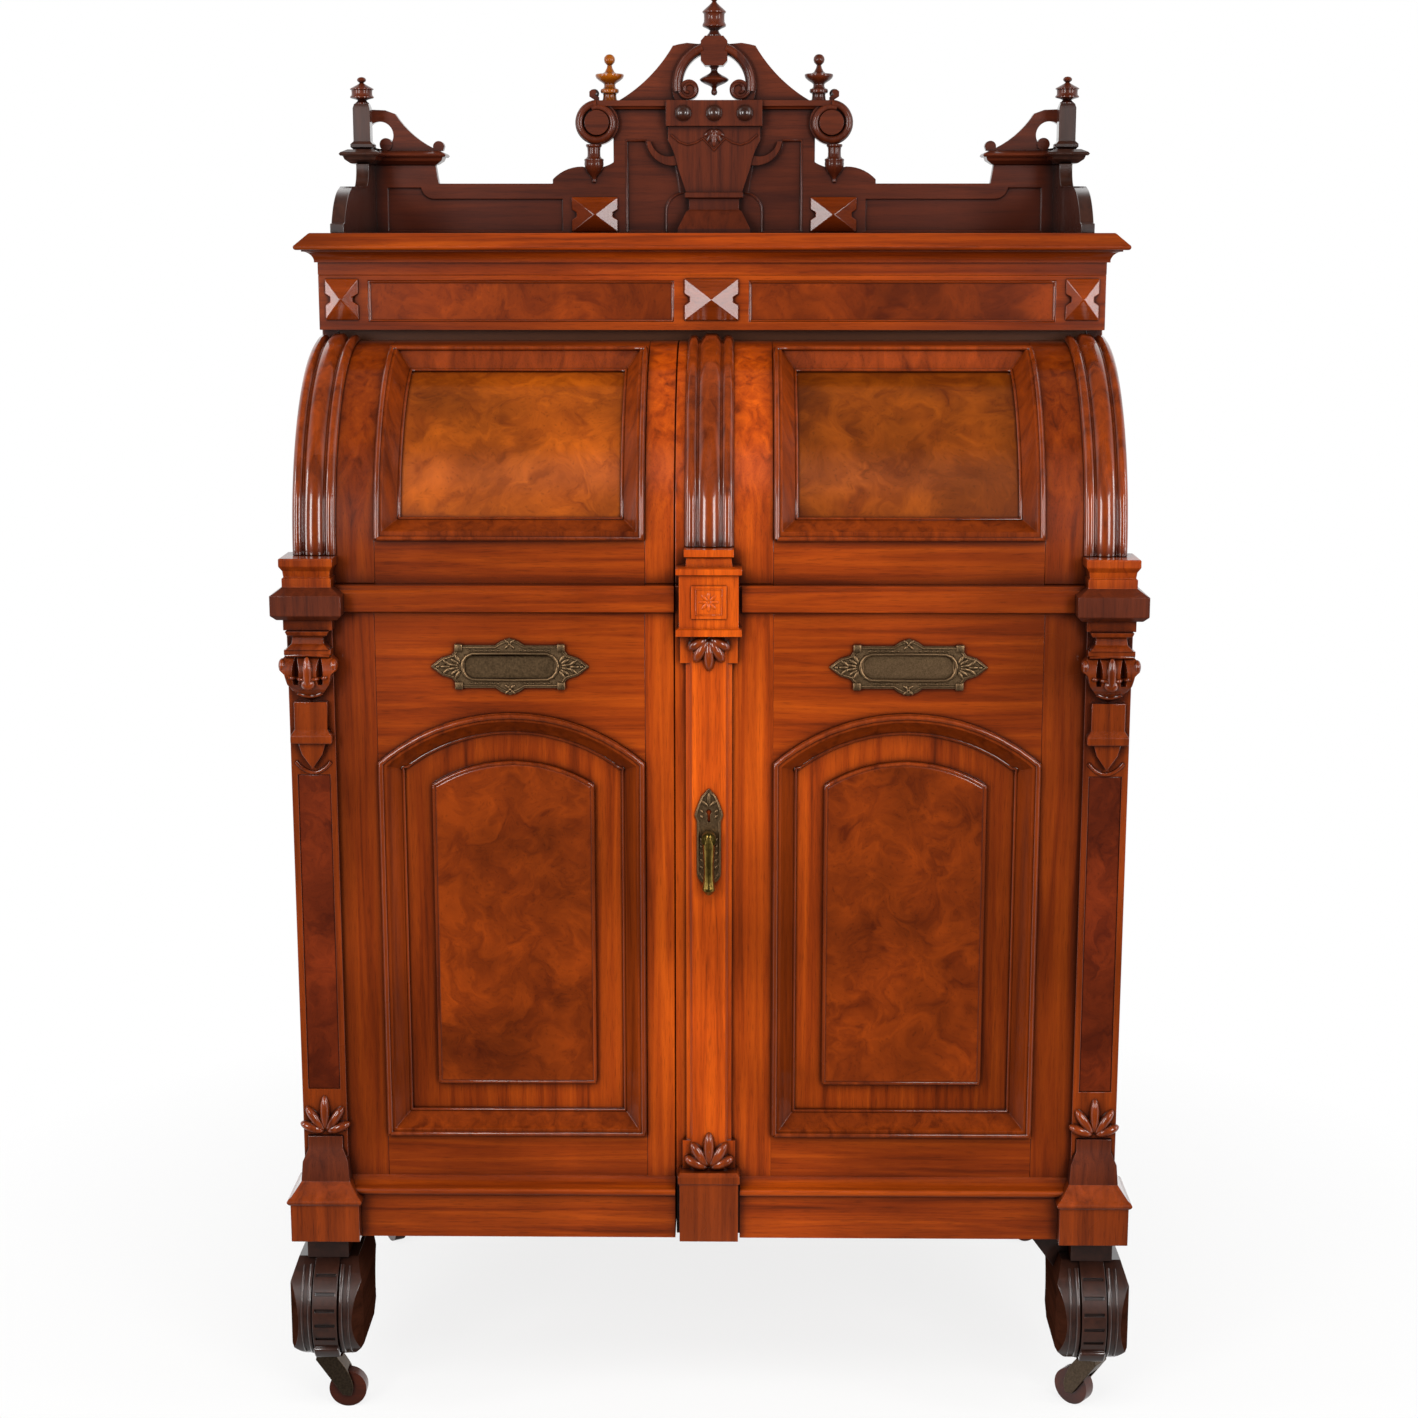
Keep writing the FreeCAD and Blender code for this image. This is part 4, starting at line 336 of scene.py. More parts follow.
# Frames and boards: painted light, orange in the middle by the lock and darker towards the sides and corners
def walnut(grain):
    worn = (1.45, 0.5) if grain == "Z" else (1.15, 0.6)
    return timber(f"polished_walnut_{grain}", grain, "walnut", worn=worn)


# Middle pilaster and caps: the brightest orange, where the painted light is strongest in the middle
def rubbed_walnut():
    return timber("rubbed_walnut", "Z", "walnut", worn=(1.75, 1.0))


# Faces where the doors meet: no polish, so no light glances through the gap
def meeting_walnut():
    return timber("unpolished_walnut", "Z", "walnut", rough=0.5, coat=0.0, gloss=0.0)


# Posts, reeds, beads and carvings: deep red-brown with a hard bright polish
def aged_walnut(grain):
    return timber(f"aged_walnut_{grain}", grain, "deep", rough=0.24, coat=1.0)


# Door mouldings: deep red-brown, with less polish in their hollows
def moulded_walnut():
    return timber("moulded_walnut", "Z", "deep", rough=0.3, coat=0.2, gloss=0.1)


# Nailhead blocks: flat facets that mirror the softboxes
def nailhead_walnut():
    return timber("nailhead_walnut", "X", "deep", rough=0.2, coat=0.7, gloss=0.1)


# Gallery, crest and wheels: dull dark red-brown with short streaks
def carved_walnut(grain):
    return timber(f"carved_walnut_{grain}", grain, "carved", streak_mm=11, run_mm=240, rough=0.36, coat=0.5)


# Feet and gallery corners: near black and glossy
def stained_walnut(grain):
    return timber(f"stained_walnut_{grain}", grain, "stained", streak_mm=11, run_mm=240, rough=0.3, coat=1.0,
                  gloss=0.5)


# Sides of the feet: near black without polish
def dull_walnut():
    return timber("unpolished_stained_walnut", "Y", "stained", rough=0.55, coat=0.0, gloss=0.0)


# Inside boards: plain paler walnut under thin varnish
def inside_walnut(grain):
    return timber(f"varnished_walnut_{grain}", grain, "inside", rough=0.4)


# One paler finial: amber boxwood with a bright polish
def amber_boxwood():
    c = colours()
    mid = mean(c.amber, c.walnut_mid)
    return made_once("turned_boxwood", polished_walnut, "Z", c.amber, mid, c.walnut_dark, rough=0.2)


# Panels: red-brown clouds on the lower doors and frieze, amber on the curved tops, dark red on the posts
def burl(panel, kind="burl", part=1.0, **pattern):
    light, _, dark = tones(kind)
    return made_once(f"walnut_burl_{panel}", burl_veneer, share(light, part), share(dark, part), **pattern)


# Letter and lock plates: brown bronze with a fine grain
def bronze():
    return made_once("bronzed_casting", cast_metal, colours().bronze, 0.42, 1.5)


# Lever and hinges: yellow brass rubbed smooth
def brass():
    return made_once("worn_brass", cast_metal, colours().brass, 0.3, 6)


# Letter flap: near-black bronze
def dark_bronze():
    return made_once("blackened_bronze", cast_metal, share(colours().bronze, 0.6), 0.5, 2.5)


# Casters and lock case: black iron with a low shine
def iron():
    return made_once("black_iron_casting", cast_metal, colours().iron, 0.4, 3)


WELD = 0.002 * MM
FLAT_DEGREES = 0.5


def mesh_of(name, made, smooth=True):
    """Mesh of a shape, which ends there."""
    for face in made.faces:
        face.smooth = smooth
    mesh = bpy.data.meshes.new(name)
    made.to_mesh(mesh)
    made.free()
    return mesh


def add_object(name, data):
    thing = bpy.data.objects.new(name, data)
    bpy.context.scene.collection.objects.link(thing)
    return thing


def add_piece(name, data, node, material):
    """New piece that moves with a CAD node."""
    source = frame["nodes"][node]
    piece = add_object(name, data)
    data.materials.append(material)
    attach(piece, source["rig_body"])
    return piece


def weld(mesh, crisp):
    """Joins a node's facets into whole faces, so that its edges can be rounded."""
    made = bmesh.new()
    made.from_mesh(mesh)
    bmesh.ops.remove_doubles(made, verts=made.verts, dist=WELD)
    bmesh.ops.dissolve_limit(made, angle_limit=math.radians(FLAT_DEGREES), verts=made.verts, edges=made.edges)
    for face in made.faces:
        face.smooth = True
    made.to_mesh(mesh)
    made.free()
    mesh.set_sharp_from_angle(angle=math.radians(crisp))


def stand_in(node, material, crisp):
    """Welded copy of a CAD node, which stands for it."""
    mesh = frame["nodes"][node].data.copy()
    mesh.materials.clear()
    weld(mesh, crisp)
    piece = add_piece(f"{node}_finished", mesh, node, material)
    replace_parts(piece, node)
    return piece


def dress(node, material, edge=None, crisp=28, cuts=()):
    """Finished copy of a CAD node: edges sharper than crisp degrees are rounded by edge."""
    piece = stand_in(node, material, crisp)
    if cuts:
        engrave(piece, cuts)
    bevel = piece.modifiers.new("rounded edges", "BEVEL")
    bevel.width = edge or sizes().edge_round
    bevel.segments = 2
    bevel.limit_method = "ANGLE"
    bevel.angle_limit = math.radians(crisp)
    split = piece.modifiers.new("split faces", "TRIANGULATE")
    split.min_vertices = 5
    flats = piece.modifiers.new("flat faces", "WEIGHTED_NORMAL")
    flats.weight = 100
    flats.keep_sharp = True
    return piece


def rounded(node, material, crisp=36):
    """Finished copy of a turned node: flat sides drawn round, rings sharper than crisp degrees kept."""
    piece = stand_in(node, material, crisp)
    made = bmesh.new()
    made.from_mesh(piece.data)
    crease = made.edges.layers.float.new("crease_edge")
    for edge in made.edges:
        if edge.calc_face_angle(math.pi) > math.radians(crisp):
            edge[crease] = 1.0
    made.to_mesh(piece.data)
    made.free()
    turning = piece.modifiers.new("turned round", "SUBSURF")
    turning.levels = turning.render_levels = 2
    return piece


def tint(piece, material, chosen):
    """Gives the chosen faces of a piece another material."""
    piece.data.materials.append(material)
    for face in piece.data.polygons:
        if chosen(face):
            face.material_index = len(piece.data.materials) - 1


def cubes(items):
    """Blocks in one shape, each with its place, half sizes and turn about X."""
    made = bmesh.new()
    for place, halves, turn in items:
        matrix = Matrix.Translation(place) @ Matrix.Rotation(turn, 4, "X") @ Matrix.Diagonal((*halves, 1.0))
        bmesh.ops.create_cube(made, size=2.0, matrix=matrix)
    return made


def engrave(piece, cuts):
    """Cuts small blocks out of a piece."""
    mesh = mesh_of("cutters", cubes(cuts), smooth=False)
    cutter = add_object("cutters", mesh)
    cut = piece.modifiers.new("cuts", "BOOLEAN")
    cut.object = cutter
    cut.solver = "EXACT"
    shape = bpy.data.meshes.new_from_object(piece.evaluated_get(bpy.context.evaluated_depsgraph_get()))
    piece.modifiers.remove(cut)
    piece.data = shape
    bpy.data.objects.remove(cutter)
    bpy.data.meshes.remove(mesh)


def blocks(name, node, material, items, soft):
    """Small blocks on a node with their edges rounded by soft."""
    made = cubes(items)
    bmesh.ops.bevel(made, geom=made.edges[:], offset=soft, segments=3, profile=0.5, affect="EDGES")
    return add_piece(name, mesh_of(name, made), node, material)


SMALL_GRAIN = 4 * MM


def carving(name, node, material, grains):
    """Rounded relief on a node: each grain is a ball at a place, with three radii and a turn in the face."""
    made = bmesh.new()
    for place, radii, turn in grains:
        matrix = Matrix.Translation(place) @ Matrix.Rotation(turn, 4, "Y") @ Matrix.Diagonal((*radii, 1.0))
        fineness = 2 if max(radii) < SMALL_GRAIN else 3
        bmesh.ops.create_icosphere(made, subdivisions=fineness, radius=1.0, matrix=matrix)
    return add_piece(name, mesh_of(name, made), node, material)


def beading(name, node, material, radius, paths):
    """Raised round beads along paths of points."""
    curve = bpy.data.curves.new(name, "CURVE")
    curve.dimensions = "3D"
    curve.bevel_depth = radius
    curve.bevel_resolution = 3
    curve.use_fill_caps = True
    for path in paths:
        spline = curve.splines.new("POLY")
        spline.points.add(len(path) - 1)
        for point, place in zip(spline.points, path):
            point.co = (*place, 1.0)
    return add_piece(name, curve, node, material)


def front_of(node, must=True):
    """Finds the place and normal where a line from the front at x and z meets a node, as it must or may."""
    mesh = frame["nodes"][node].data
    tree = BVHTree.FromPolygons([v.co for v in mesh.vertices], [p.vertices[:] for p in mesh.polygons])

    def look(x, z):
        place, normal = tree.ray_cast(Vector((x, CAD_BOX[0][1] - 1, z)), Vector((0, 1, 0)))[:2]
        if must and place is None:
            raise RuntimeError(f"{node} has no front at {x:.4f}, {z:.4f}")
        return place, normal
    return look


WALK_STEPS = 1200
BORDER_STEP = 6 * MM


def walk(look, x, z, dx, dz, inset):
    """From a place that misses a node, goes on by half millimetres until it meets it, and inset further."""
    for step in range(WALK_STEPS):
        there = x + dx * step * MM / 2, z + dz * step * MM / 2
        if look(*there)[0]:
            return there[0] + dx * inset, there[1] + dz * inset
    raise RuntimeError("no edge found")


def between(a, b):
    """Numbers from a to b, about a border's step apart."""
    count = max(1, round(abs(b - a) / BORDER_STEP))
    return [a + (b - a) * i / count for i in range(count + 1)]


def border(look, left, right, foot, crown):
    """Loop over the front of a framed piece: up its left, along its head, down its right and back."""
    head = [(x, crown(x)) for x in between(left, right)]
    outline = [(left, z) for z in between(foot, head[0][1])][:-1] + head
    outline += [(right, z) for z in between(head[-1][1], foot)][1:] + [(left, foot)]
    return [look(x, z)[0] for x, z in outline if look(x, z)[0]]


def rim(look, low, high, edge):
    """Loop just inside the outline of a framed piece."""
    return border(look, low.x + edge, high.x - edge, low.z + edge,
                  lambda x: walk(look, x, high.z + 1 * MM, 0, -1, edge)[1])


def spiral(x, y, z, radii, degrees, count=40):
    """Points of an arc or spiral in an upright face; degrees run from the right, upwards."""
    path = []
    for i in range(count + 1):
        part = i / count
        radius = radii[0] + (radii[1] - radii[0]) * part
        angle = math.radians(degrees[0] + (degrees[1] - degrees[0]) * part)
        path.append((x + radius * math.cos(angle), y, z + radius * math.sin(angle)))
    return path


def mirrored(path):
    return [(-x, y, z) for x, y, z in path]


def islands(node):
    """Boxes of the separate pieces in a node."""
    made = bmesh.new()
    made.from_mesh(frame["nodes"][node].data)
    bmesh.ops.remove_doubles(made, verts=made.verts, dist=WELD)
    left, boxes = set(made.verts), []
    while left:
        reached, edge = set(), [left.pop()]
        while edge:
            vert = edge.pop()
            reached.add(vert)
            edge += [other for e in vert.link_edges if (other := e.other_vert(vert)) not in reached]
        left -= reached
        corners = [[pick(v.co[axis] for v in reached) for axis in range(3)] for pick in (min, max)]
        boxes.append((Vector(corners[0]), Vector(corners[1])))
    made.free()
    return sorted(boxes, key=lambda box: tuple(box[0]))


TURNED_SIDES, TURNED_CRISP, SEAM = 40, 40, 0.01 * MM


def turnings(name, node, material, pieces):
    """Turned pieces in one mesh, each with its seat, its profile on an upright axis and its two scales."""
    made = bmesh.new()
    for place, profile, (broad, tall) in pieces:
        start = [made.verts.new(place + Vector((radius * broad, 0, up * tall))) for radius, up in profile]
        edges = [made.edges.new(pair) for pair in zip(start, start[1:])]
        bmesh.ops.spin(made, geom=start + edges, cent=place, axis=(0, 0, 1), dvec=(0, 0, 0),
                       angle=2 * math.pi, steps=TURNED_SIDES, use_merge=True)
    bmesh.ops.remove_doubles(made, verts=made.verts, dist=SEAM)
    bmesh.ops.recalc_face_normals(made, faces=made.faces)
    mesh = mesh_of(name, made)
    mesh.set_sharp_from_angle(angle=math.radians(TURNED_CRISP))
    return add_piece(name, mesh, node, material)


# Shares of a petal's length: what the outermost lose, where its ball lies, and the ball's half length
PETAL_LOSS, PETAL_PLACE, PETAL_HALF = 0.3, 0.55, 0.5


def petals(place, depth, longest, width, spread, count=5, down=False):
    """Grains of a carved fan, shorter at its ends: a palmette, or a hanging leaf when it points down."""
    for i in range(count):
        across = 2 * i / (count - 1) - 1
        turn = math.radians(spread / 2 * across + (180 if down else 0))
        reach = longest * (1 - PETAL_LOSS * abs(across))
        aim = Vector((math.sin(turn), 0, math.cos(turn)))
        yield place + aim * reach * PETAL_PLACE, (width, depth, reach * PETAL_HALF), turn


class DeskOperator:
    bl_options = {"REGISTER", "UNDO"}


LONG_PANEL = 100 * MM
FRIEZE_BEAD, FRIEZE_INSET = mm(2, 1)
PANEL_CRISP = 10


class DESK_OT_case(DeskOperator, bpy.types.Operator):
    """Finishes the sides, frieze, cornice and burl of the case"""
    bl_idname = "desk.case"
    bl_label = "Case"

    def execute(self, context):
        dress("case_sides", walnut("Z"))
        dress("frieze", walnut("X"))
        dress("cornice", walnut("X"))
        look = front_of("burl_panels", must=False)
        rims, edge = [], FRIEZE_INSET
        for low, high in islands("burl_panels"):
            if high.x - low.x > LONG_PANEL and look((low.x + high.x) / 2, (low.z + high.z) / 2)[0]:
                rims.append(border(look, low.x + edge, high.x - edge, low.z + edge, lambda x: high.z - edge))
        beading("frieze_beads", "burl_panels", aged_walnut("X"), FRIEZE_BEAD, rims)
        dress("burl_panels", burl("case"), crisp=PANEL_CRISP)
        dress("nailhead_blocks", nailhead_walnut())
        dress("case_back", inside_walnut("Z"))
        return {"FINISHED"}


OUTER_BEAD, OUTER_INSET = mm(3.2, 4)
INNER_BEAD, INNER_INSET = mm(2.4, 2)
FIELD_BEAD, FIELD_INSET = mm(3, 1)


def panel_beads(side):
    """Round beads along both edges of the panel mouldings and round the raised field of the lower panel."""
    node, wood = f"{side}_mouldings", aged_walnut("Z")
    look = front_of(node, must=False)
    outer, inner = [], []
    for low, high in islands(node):
        x, z = (low.x + high.x) / 2, (low.z + high.z) / 2
        outer.append(rim(look, low, high, OUTER_INSET))
        inset = INNER_INSET
        left, right = walk(look, x, z, -1, 0, inset)[0], walk(look, x, z, 1, 0, inset)[0]
        foot = walk(look, x, z, 0, -1, inset)[1]
        inner.append(border(look, left, right, foot, lambda x: walk(
            look, min(max(x, left + 3 * inset), right - 3 * inset), z, 0, 1, inset)[1]))
    beading(f"{side}_outer_beads", node, wood, OUTER_BEAD, outer)
    beading(f"{side}_inner_beads", node, wood, INNER_BEAD, inner)
    look = front_of(f"{side}_burl", must=False)
    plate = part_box(f"{side}_letter_plate")[0].z
    lower = [box for box in islands(f"{side}_burl") if box[1].z < plate]
    low, high = max(lower, key=lambda box: box[1].x - box[0].x)
    beading(f"{side}_field_bead", f"{side}_panel", wood, FIELD_BEAD, [rim(look, low, high, FIELD_INSET)])


# How far each door's burl is shifted in metres, and how much of its light tones each upper panel keeps: the
# right one is darker with painted shade
BURL_SHIFTS = {"left": (0.0, 0.0, 0.0), "right": (0.4, 0.7, 0.2)}
UPPER_LIT_SHARES = {"left": 1.0, "right": 0.66}
# Darker feet of the posts and the pilaster, margin of the waist band, and where the doors' meeting faces end
POST_FOOT, PLINTH_CAP, BAND_MARGIN, MEETING_REACH = mm(80, 16, 4, 46)
SIDEWAYS = 0.9
MOULDING_CRISP, REED_CRISP = 34, 60


class DESK_OT_doors(DeskOperator, bpy.types.Operator):
    """Finishes the frames, mouldings, panels, posts and reeds of the two doors"""
    bl_idname = "desk.doors"
    bl_label = "Doors"

    def execute(self, context):
        for side, shift in BURL_SHIFTS.items():
            for part, grain in (("stiles", "Z"), ("rails", "X"), ("side", "Z")):
                tint(dress(f"{side}_{part}", walnut(grain)), meeting_walnut(),
                     lambda face: abs(face.center.x) < MEETING_REACH and abs(face.normal.x) > SIDEWAYS)
            dress(f"{side}_mouldings", moulded_walnut(), sizes().moulding_round, crisp=MOULDING_CRISP)
            dress(f"{side}_panel", walnut("Z"))
            panels = dress(f"{side}_burl", burl(side, shift=shift), crisp=PANEL_CRISP)
            post = min(abs(corner.x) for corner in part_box(f"{side}_corner_post"))
            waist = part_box(f"{side}_letter_plate")[1].z
            tint(panels, burl("strips", "strip", swirl_mm=40), lambda face: abs(face.center.x) > post)
            # Curved upper panels, the right one darker with painted shade
            tint(panels, burl(f"upper_{side}", "upper", UPPER_LIT_SHARES[side], shift=shift),
                 lambda face: face.center.z > waist)
            panel_beads(side)
            posts = dress(f"{side}_corner_post", aged_walnut("Z"))
            plinth, band = sorted(islands(f"{side}_rails"), key=lambda box: box[0].y)[:2]
            foot, sill, cap = plinth[1].z, band[0].z - BAND_MARGIN, band[1].z + BAND_MARGIN
            tint(posts, carved_walnut("Z"),
                 lambda face: foot < face.center.z < foot + POST_FOOT or sill < face.center.z < cap)
            tint(posts, rubbed_walnut(), lambda face: face.center.z > cap)
            dress(f"{side}_reeds", aged_walnut("Z"), crisp=REED_CRISP)
        pilaster = dress("centre_pilaster", rubbed_walnut())
        tint(pilaster, aged_walnut("Z"), lambda face: face.center.z < foot + PLINTH_CAP)
        return {"FINISHED"}


# In mm from the boss's top and middle: height, width and length of its keel's balls, the place of its ears,
# and half width, height, bend and way of its lines
BOSS_KEEL, KEEL_DEPTH = ((-28, 6, 20), (-43, 9, 8)), 6
EAR_OUT, EAR_UP, CHEEK = 32, -20, 0.8
BOSS_LINES = ((27, -7, 27, -1), (24, -37, 14, 1), (15, -61, 7, 1))
EAR, EAR_BACK, BOSS_LINE = mm(5, 9, 9), *mm(6, 2.4)
LIP_HALF, LIP_RISE, STRIP_LIP, STRIP_TOP = 22, *mm(14, 2.8, 160)


def boss_relief(side, middle, top):
    """Keel, brow and lips of the boss on a corner post, and the curved lip over the burl strip below it."""
    node, wood = f"{side}_carvings", aged_walnut("Z")
    face = front_of(node)

    def across(*points):
        return [face(middle + x * MM, top + z * MM)[0] for x, z in points]

    def curve(half, height, bend, way):
        return across(*[(x, height + way * (x / bend) ** 2) for x in range(-half, half + 1, 3)])

    keel = [(across((0, z))[0], mm(width, KEEL_DEPTH, tall), 0.0) for z, width, tall in BOSS_KEEL]
    for x in (-EAR_OUT, EAR_OUT):
        cheek = across((x * CHEEK, EAR_UP))[0]
        ear = Vector((middle + x * MM, cheek.y + EAR_BACK, top + EAR_UP * MM))
        keel.append((ear, EAR, 0.0))
    carving(f"{side}_boss_keel", node, wood, keel)
    beading(f"{side}_boss_lines", node, wood, BOSS_LINE, [curve(*line) for line in BOSS_LINES])
    post = front_of(f"{side}_corner_post")
    foot = top - STRIP_TOP
    lip = [post(middle + x * MM, foot + LIP_RISE * (x / LIP_HALF) ** 2)[0]
           for x in range(-LIP_HALF, LIP_HALF + 1, 2)]
    beading(f"{side}_strip_lip", f"{side}_corner_post", wood, STRIP_LIP, [lip])


# Length and width of a petal, and the spread of its fan in degrees
POST_FAN, SHAFT_FAN, HANGING_FAN = (*mm(47, 7), 140), (*mm(47, 8), 130), (*mm(41, 7.5), 120)
KEYSTONE_FAN, LOCK_FAN = (*mm(24, 4), 110), (*mm(19, 2.4), 90)
ROSETTE_RADIUS = 7 * MM
ROSETTE_LEAF = mm(2.2, 1, 5.5)
WAIST_DROP, WAIST_SQUARE, SQUARE_BEAD = mm(4, 16, 0.9)


class DESK_OT_carvings(DeskOperator, bpy.types.Operator):
    """Carves the bosses, palmettes and leaves on the doors"""
    bl_idname = "desk.carvings"
    bl_label = "Carvings"

    def execute(self, context):
        s, wood = sizes(), aged_walnut("Z")
        low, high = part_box("left_carvings")
        post = -(low.x + high.x) / 2
        for side, middle in (("left", -post), ("right", post)):
            node = f"{side}_carvings"
            dress(node, wood, s.fine_round)
            boss_relief(side, middle, high.z)
            root = Vector((middle, high.y, low.z))
            carving(f"{side}_palmette", node, wood, petals(root, s.petal_depth, *POST_FAN))
        low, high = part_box("right_carvings")
        shaft = front_of("centre_pilaster")
        face = shaft(0, (low.z + high.z) / 2)[0].y
        grains = [*petals(Vector((0, face, low.z)), s.petal_depth, *SHAFT_FAN),
                  *petals(Vector((0, face, high.z)), s.petal_depth, *HANGING_FAN, down=True)]
        carving("pilaster_leaves", "right_carvings", wood, grains)
        block = (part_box("left_corner_post")[1].z + high.z) / 2 - WAIST_DROP
        centre = shaft(0, block)[0]
        rosette = [(centre + Vector((math.sin(a), 0, math.cos(a))) * ROSETTE_RADIUS, ROSETTE_LEAF, a)
                   for a in (math.radians(45 * i) for i in range(8))]
        carving("waist_rosette", "centre_pilaster", rubbed_walnut(), rosette)
        corners = ((-1, -1), (1, -1), (1, 1), (-1, 1), (-1, -1))
        square = [centre + Vector((x * WAIST_SQUARE, 0, z * WAIST_SQUARE)) for x, z in corners]
        beading("waist_square", "centre_pilaster", rubbed_walnut(), SQUARE_BEAD, [square])
        return {"FINISHED"}


def quarters(points):
    """Closed outline from the points of its right upper quarter, which run from the right to the top."""
    half = points + [(-x, z) for x, z in reversed(points[:-1])]
    return half + [(x, -z) for x, z in reversed(half[1:-1])] + [points[0]]


# In mm from the middle of a letter plate: right upper quarters of its outline and window, and the fans of
# leaves at its ends, each with its root, reach and angles
PLATE_OUTLINE = [(96, 0), (84, 9), (70, 13), (62, 24), (18, 24), (10, 29), (0, 33)]
PLATE_WINDOW = [(60, 0), (58.5, 7), (54, 13), (47, 16.5), (0, 17)]
PLATE_FANS = ((60, 11, (-62, -37, -12, 12, 37, 62)), (73, 8, (-40, 0, 40)))
PLATE_RIM, WINDOW_RIM = mm(1.3, 2.2)
DASH, FAN_LEAF, END_BALL = mm(2.4, 1.6, 1.2), mm(2.6, 2.2, 6.5), mm(2.6, 2.4, 2.6)
ROSETTE_PETAL, ROSETTE_BALL = mm(2, 2, 4.2), mm(2.4, 3, 2.4)
TAB, TAB_SOFT = mm(5, 2.6, 5), 1.6 * MM
DASHES = [7 * i for i in range(-7, 8) if abs(i) > 1]
DASH_UP, END_OUT, TAB_OUT, TAB_UP = 20.8, 90, 64, 24
ROSETTE_UP, ROSETTE_REACH = 28.5, 4.5


def letter_relief(side):
    """Rim, window rim, dashes, leaves, corner tabs and rosettes of a cast letter plate."""
    node, metal = f"{side}_letter_plate", bronze()
    low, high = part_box(node)
    centre = Vector(((low.x + high.x) / 2, low.y, (low.z + high.z) / 2))

    def at(x, z):
        return centre + Vector((x * MM, 0, z * MM))

    beading(f"{side}_plate_rim", node, metal, PLATE_RIM, [[at(x, z) for x, z in quarters(PLATE_OUTLINE)]])
    beading(f"{side}_window_rim", node, metal, WINDOW_RIM, [[at(x, z) for x, z in quarters(PLATE_WINDOW)]])
    grains = [(at(x, up * DASH_UP), DASH, 0.0) for up in (-1, 1) for x in DASHES]
    for out in (-1, 1):
        for root, reach, angles in PLATE_FANS:
            for degrees in angles:
                angle = math.radians(degrees)
                aim = (out * math.cos(angle), math.sin(angle))
                leaf = at(out * root + aim[0] * reach, aim[1] * reach)
                grains.append((leaf, FAN_LEAF, math.atan2(*aim)))
        grains.append((at(out * END_OUT, 0), END_BALL, 0.0))
        for turn in range(4):
            angle = math.radians(45 + 90 * turn)
            leaf = at(ROSETTE_REACH * math.sin(angle), out * ROSETTE_UP + ROSETTE_REACH * math.cos(angle))
            grains.append((leaf, ROSETTE_PETAL, angle))
        grains.append((at(0, out * ROSETTE_UP), ROSETTE_BALL, 0.0))
    carving(f"{side}_plate_leaves", node, metal, grains)
    tabs = [(at(x, z), TAB, 0.0) for x in (-TAB_OUT, TAB_OUT) for z in (-TAB_UP, TAB_UP)]
    blocks(f"{side}_plate_tabs", node, metal, tabs, TAB_SOFT)


LOCK_RIM, LOCK_DEPTH = mm(1.2, 2)
# In mm: right half of the lock plate's outline, from its foot and from its top, and the place of its leaves
LOCK_FOOT = ((0, 3), (8, 7), (13, 16))
LOCK_TOP = ((13, -43), (16, -34), (12, -22), (7, -10), (0, -3))
FAN_ROOT, LEAVES_OUT = -24, 9
# Rows of leaves: where they start from the plate's foot or top, step, count, radii and lean in degrees
LOCK_LEAVES = ((-36, 7, 2, (1.8, 1.8, 3.6), 30), (22, 9, 5, (1.6, 1.6, 3.4), 24))


def lock_relief():
    """Rim and leaves of the lock plate, clear of its keyhole and its handle."""
    node, metal = "lock_plate", bronze()
    low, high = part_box(node)
    top, foot = high.z / MM, low.z / MM

    def at(x, z):
        return Vector((x * MM, low.y, z * MM))

    right = [(x, foot + z) for x, z in LOCK_FOOT] + [(x, top + z) for x, z in LOCK_TOP]
    outline = [at(x, z) for x, z in right + [(-x, z) for x, z in reversed(right[:-1])]]
    beading("lock_rim", node, metal, LOCK_RIM, [outline])
    grains = [*petals(at(0, top + FAN_ROOT), LOCK_DEPTH, *LOCK_FAN, count=3)]
    for out in (-1, 1):
        for first, step, count, radii, lean in LOCK_LEAVES:
            start = foot if first > 0 else top
            grains += [(at(out * LEAVES_OUT, start + first + step * i), mm(*radii), out * math.radians(lean))
                       for i in range(count)]
    carving("lock_leaves", node, metal, grains)


HINGE_CRISP = 36


class DESK_OT_metalwork(DeskOperator, bpy.types.Operator):
    """Finishes the letter plates, flap, lock plate, lever and hinges"""
    bl_idname = "desk.metalwork"
    bl_label = "Metalwork"

    def execute(self, context):
        fine = sizes().fine_round
        for side in ("left", "right"):
            dress(f"{side}_letter_plate", bronze(), fine)
            letter_relief(side)
            dress(f"{side}_hinges", brass(), fine, HINGE_CRISP)
        dress("letter_flap", dark_bronze(), fine)
        dress("lock_plate", bronze(), fine)
        lock_relief()
        rounded("lever_handle", brass())
        dress("case_hinges", brass(), fine, HINGE_CRISP)
        dress("door_lock", iron(), fine)
        return {"FINISHED"}


# Each arc runs between two angles in degrees, from the right, upwards
HOOP_UP, HOOP_RADIUS, HOOP_INSIDE, HOOP_BAND = mm(22, 52.5, 0.5, 6.5)
HOOP_ARC, CURL_ARC, ROLL_ARC, FIELD_ARC = (72, -10), (0, -450), (90, -290), (180, 95)
EYE_OUT, EYE_UP, CURL_BEAD = mm(36, 15, 2.6)
CURL_RADII, ROLL_RADII = mm(14, 4), mm(26, 21)
VOLUTE_OUT, VOLUTE_DOWN, VOLUTE_EDGE, VOLUTE_ROLL = mm(168, 31, 24, 6)
TIP_RADIUS, TIP_UP, TIP_BACK = mm(7, 10, 8)
FIELD_OUT, FIELD_TOP, FIELD_MIDDLE, FIELD_FOOT, FIELD_TURN = mm(126, 131, 60, 2, 98)
ARC_OUT, ARC_UP, ARC_RADIUS, CREST_BEAD = mm(41, 29, 28, 1.5)


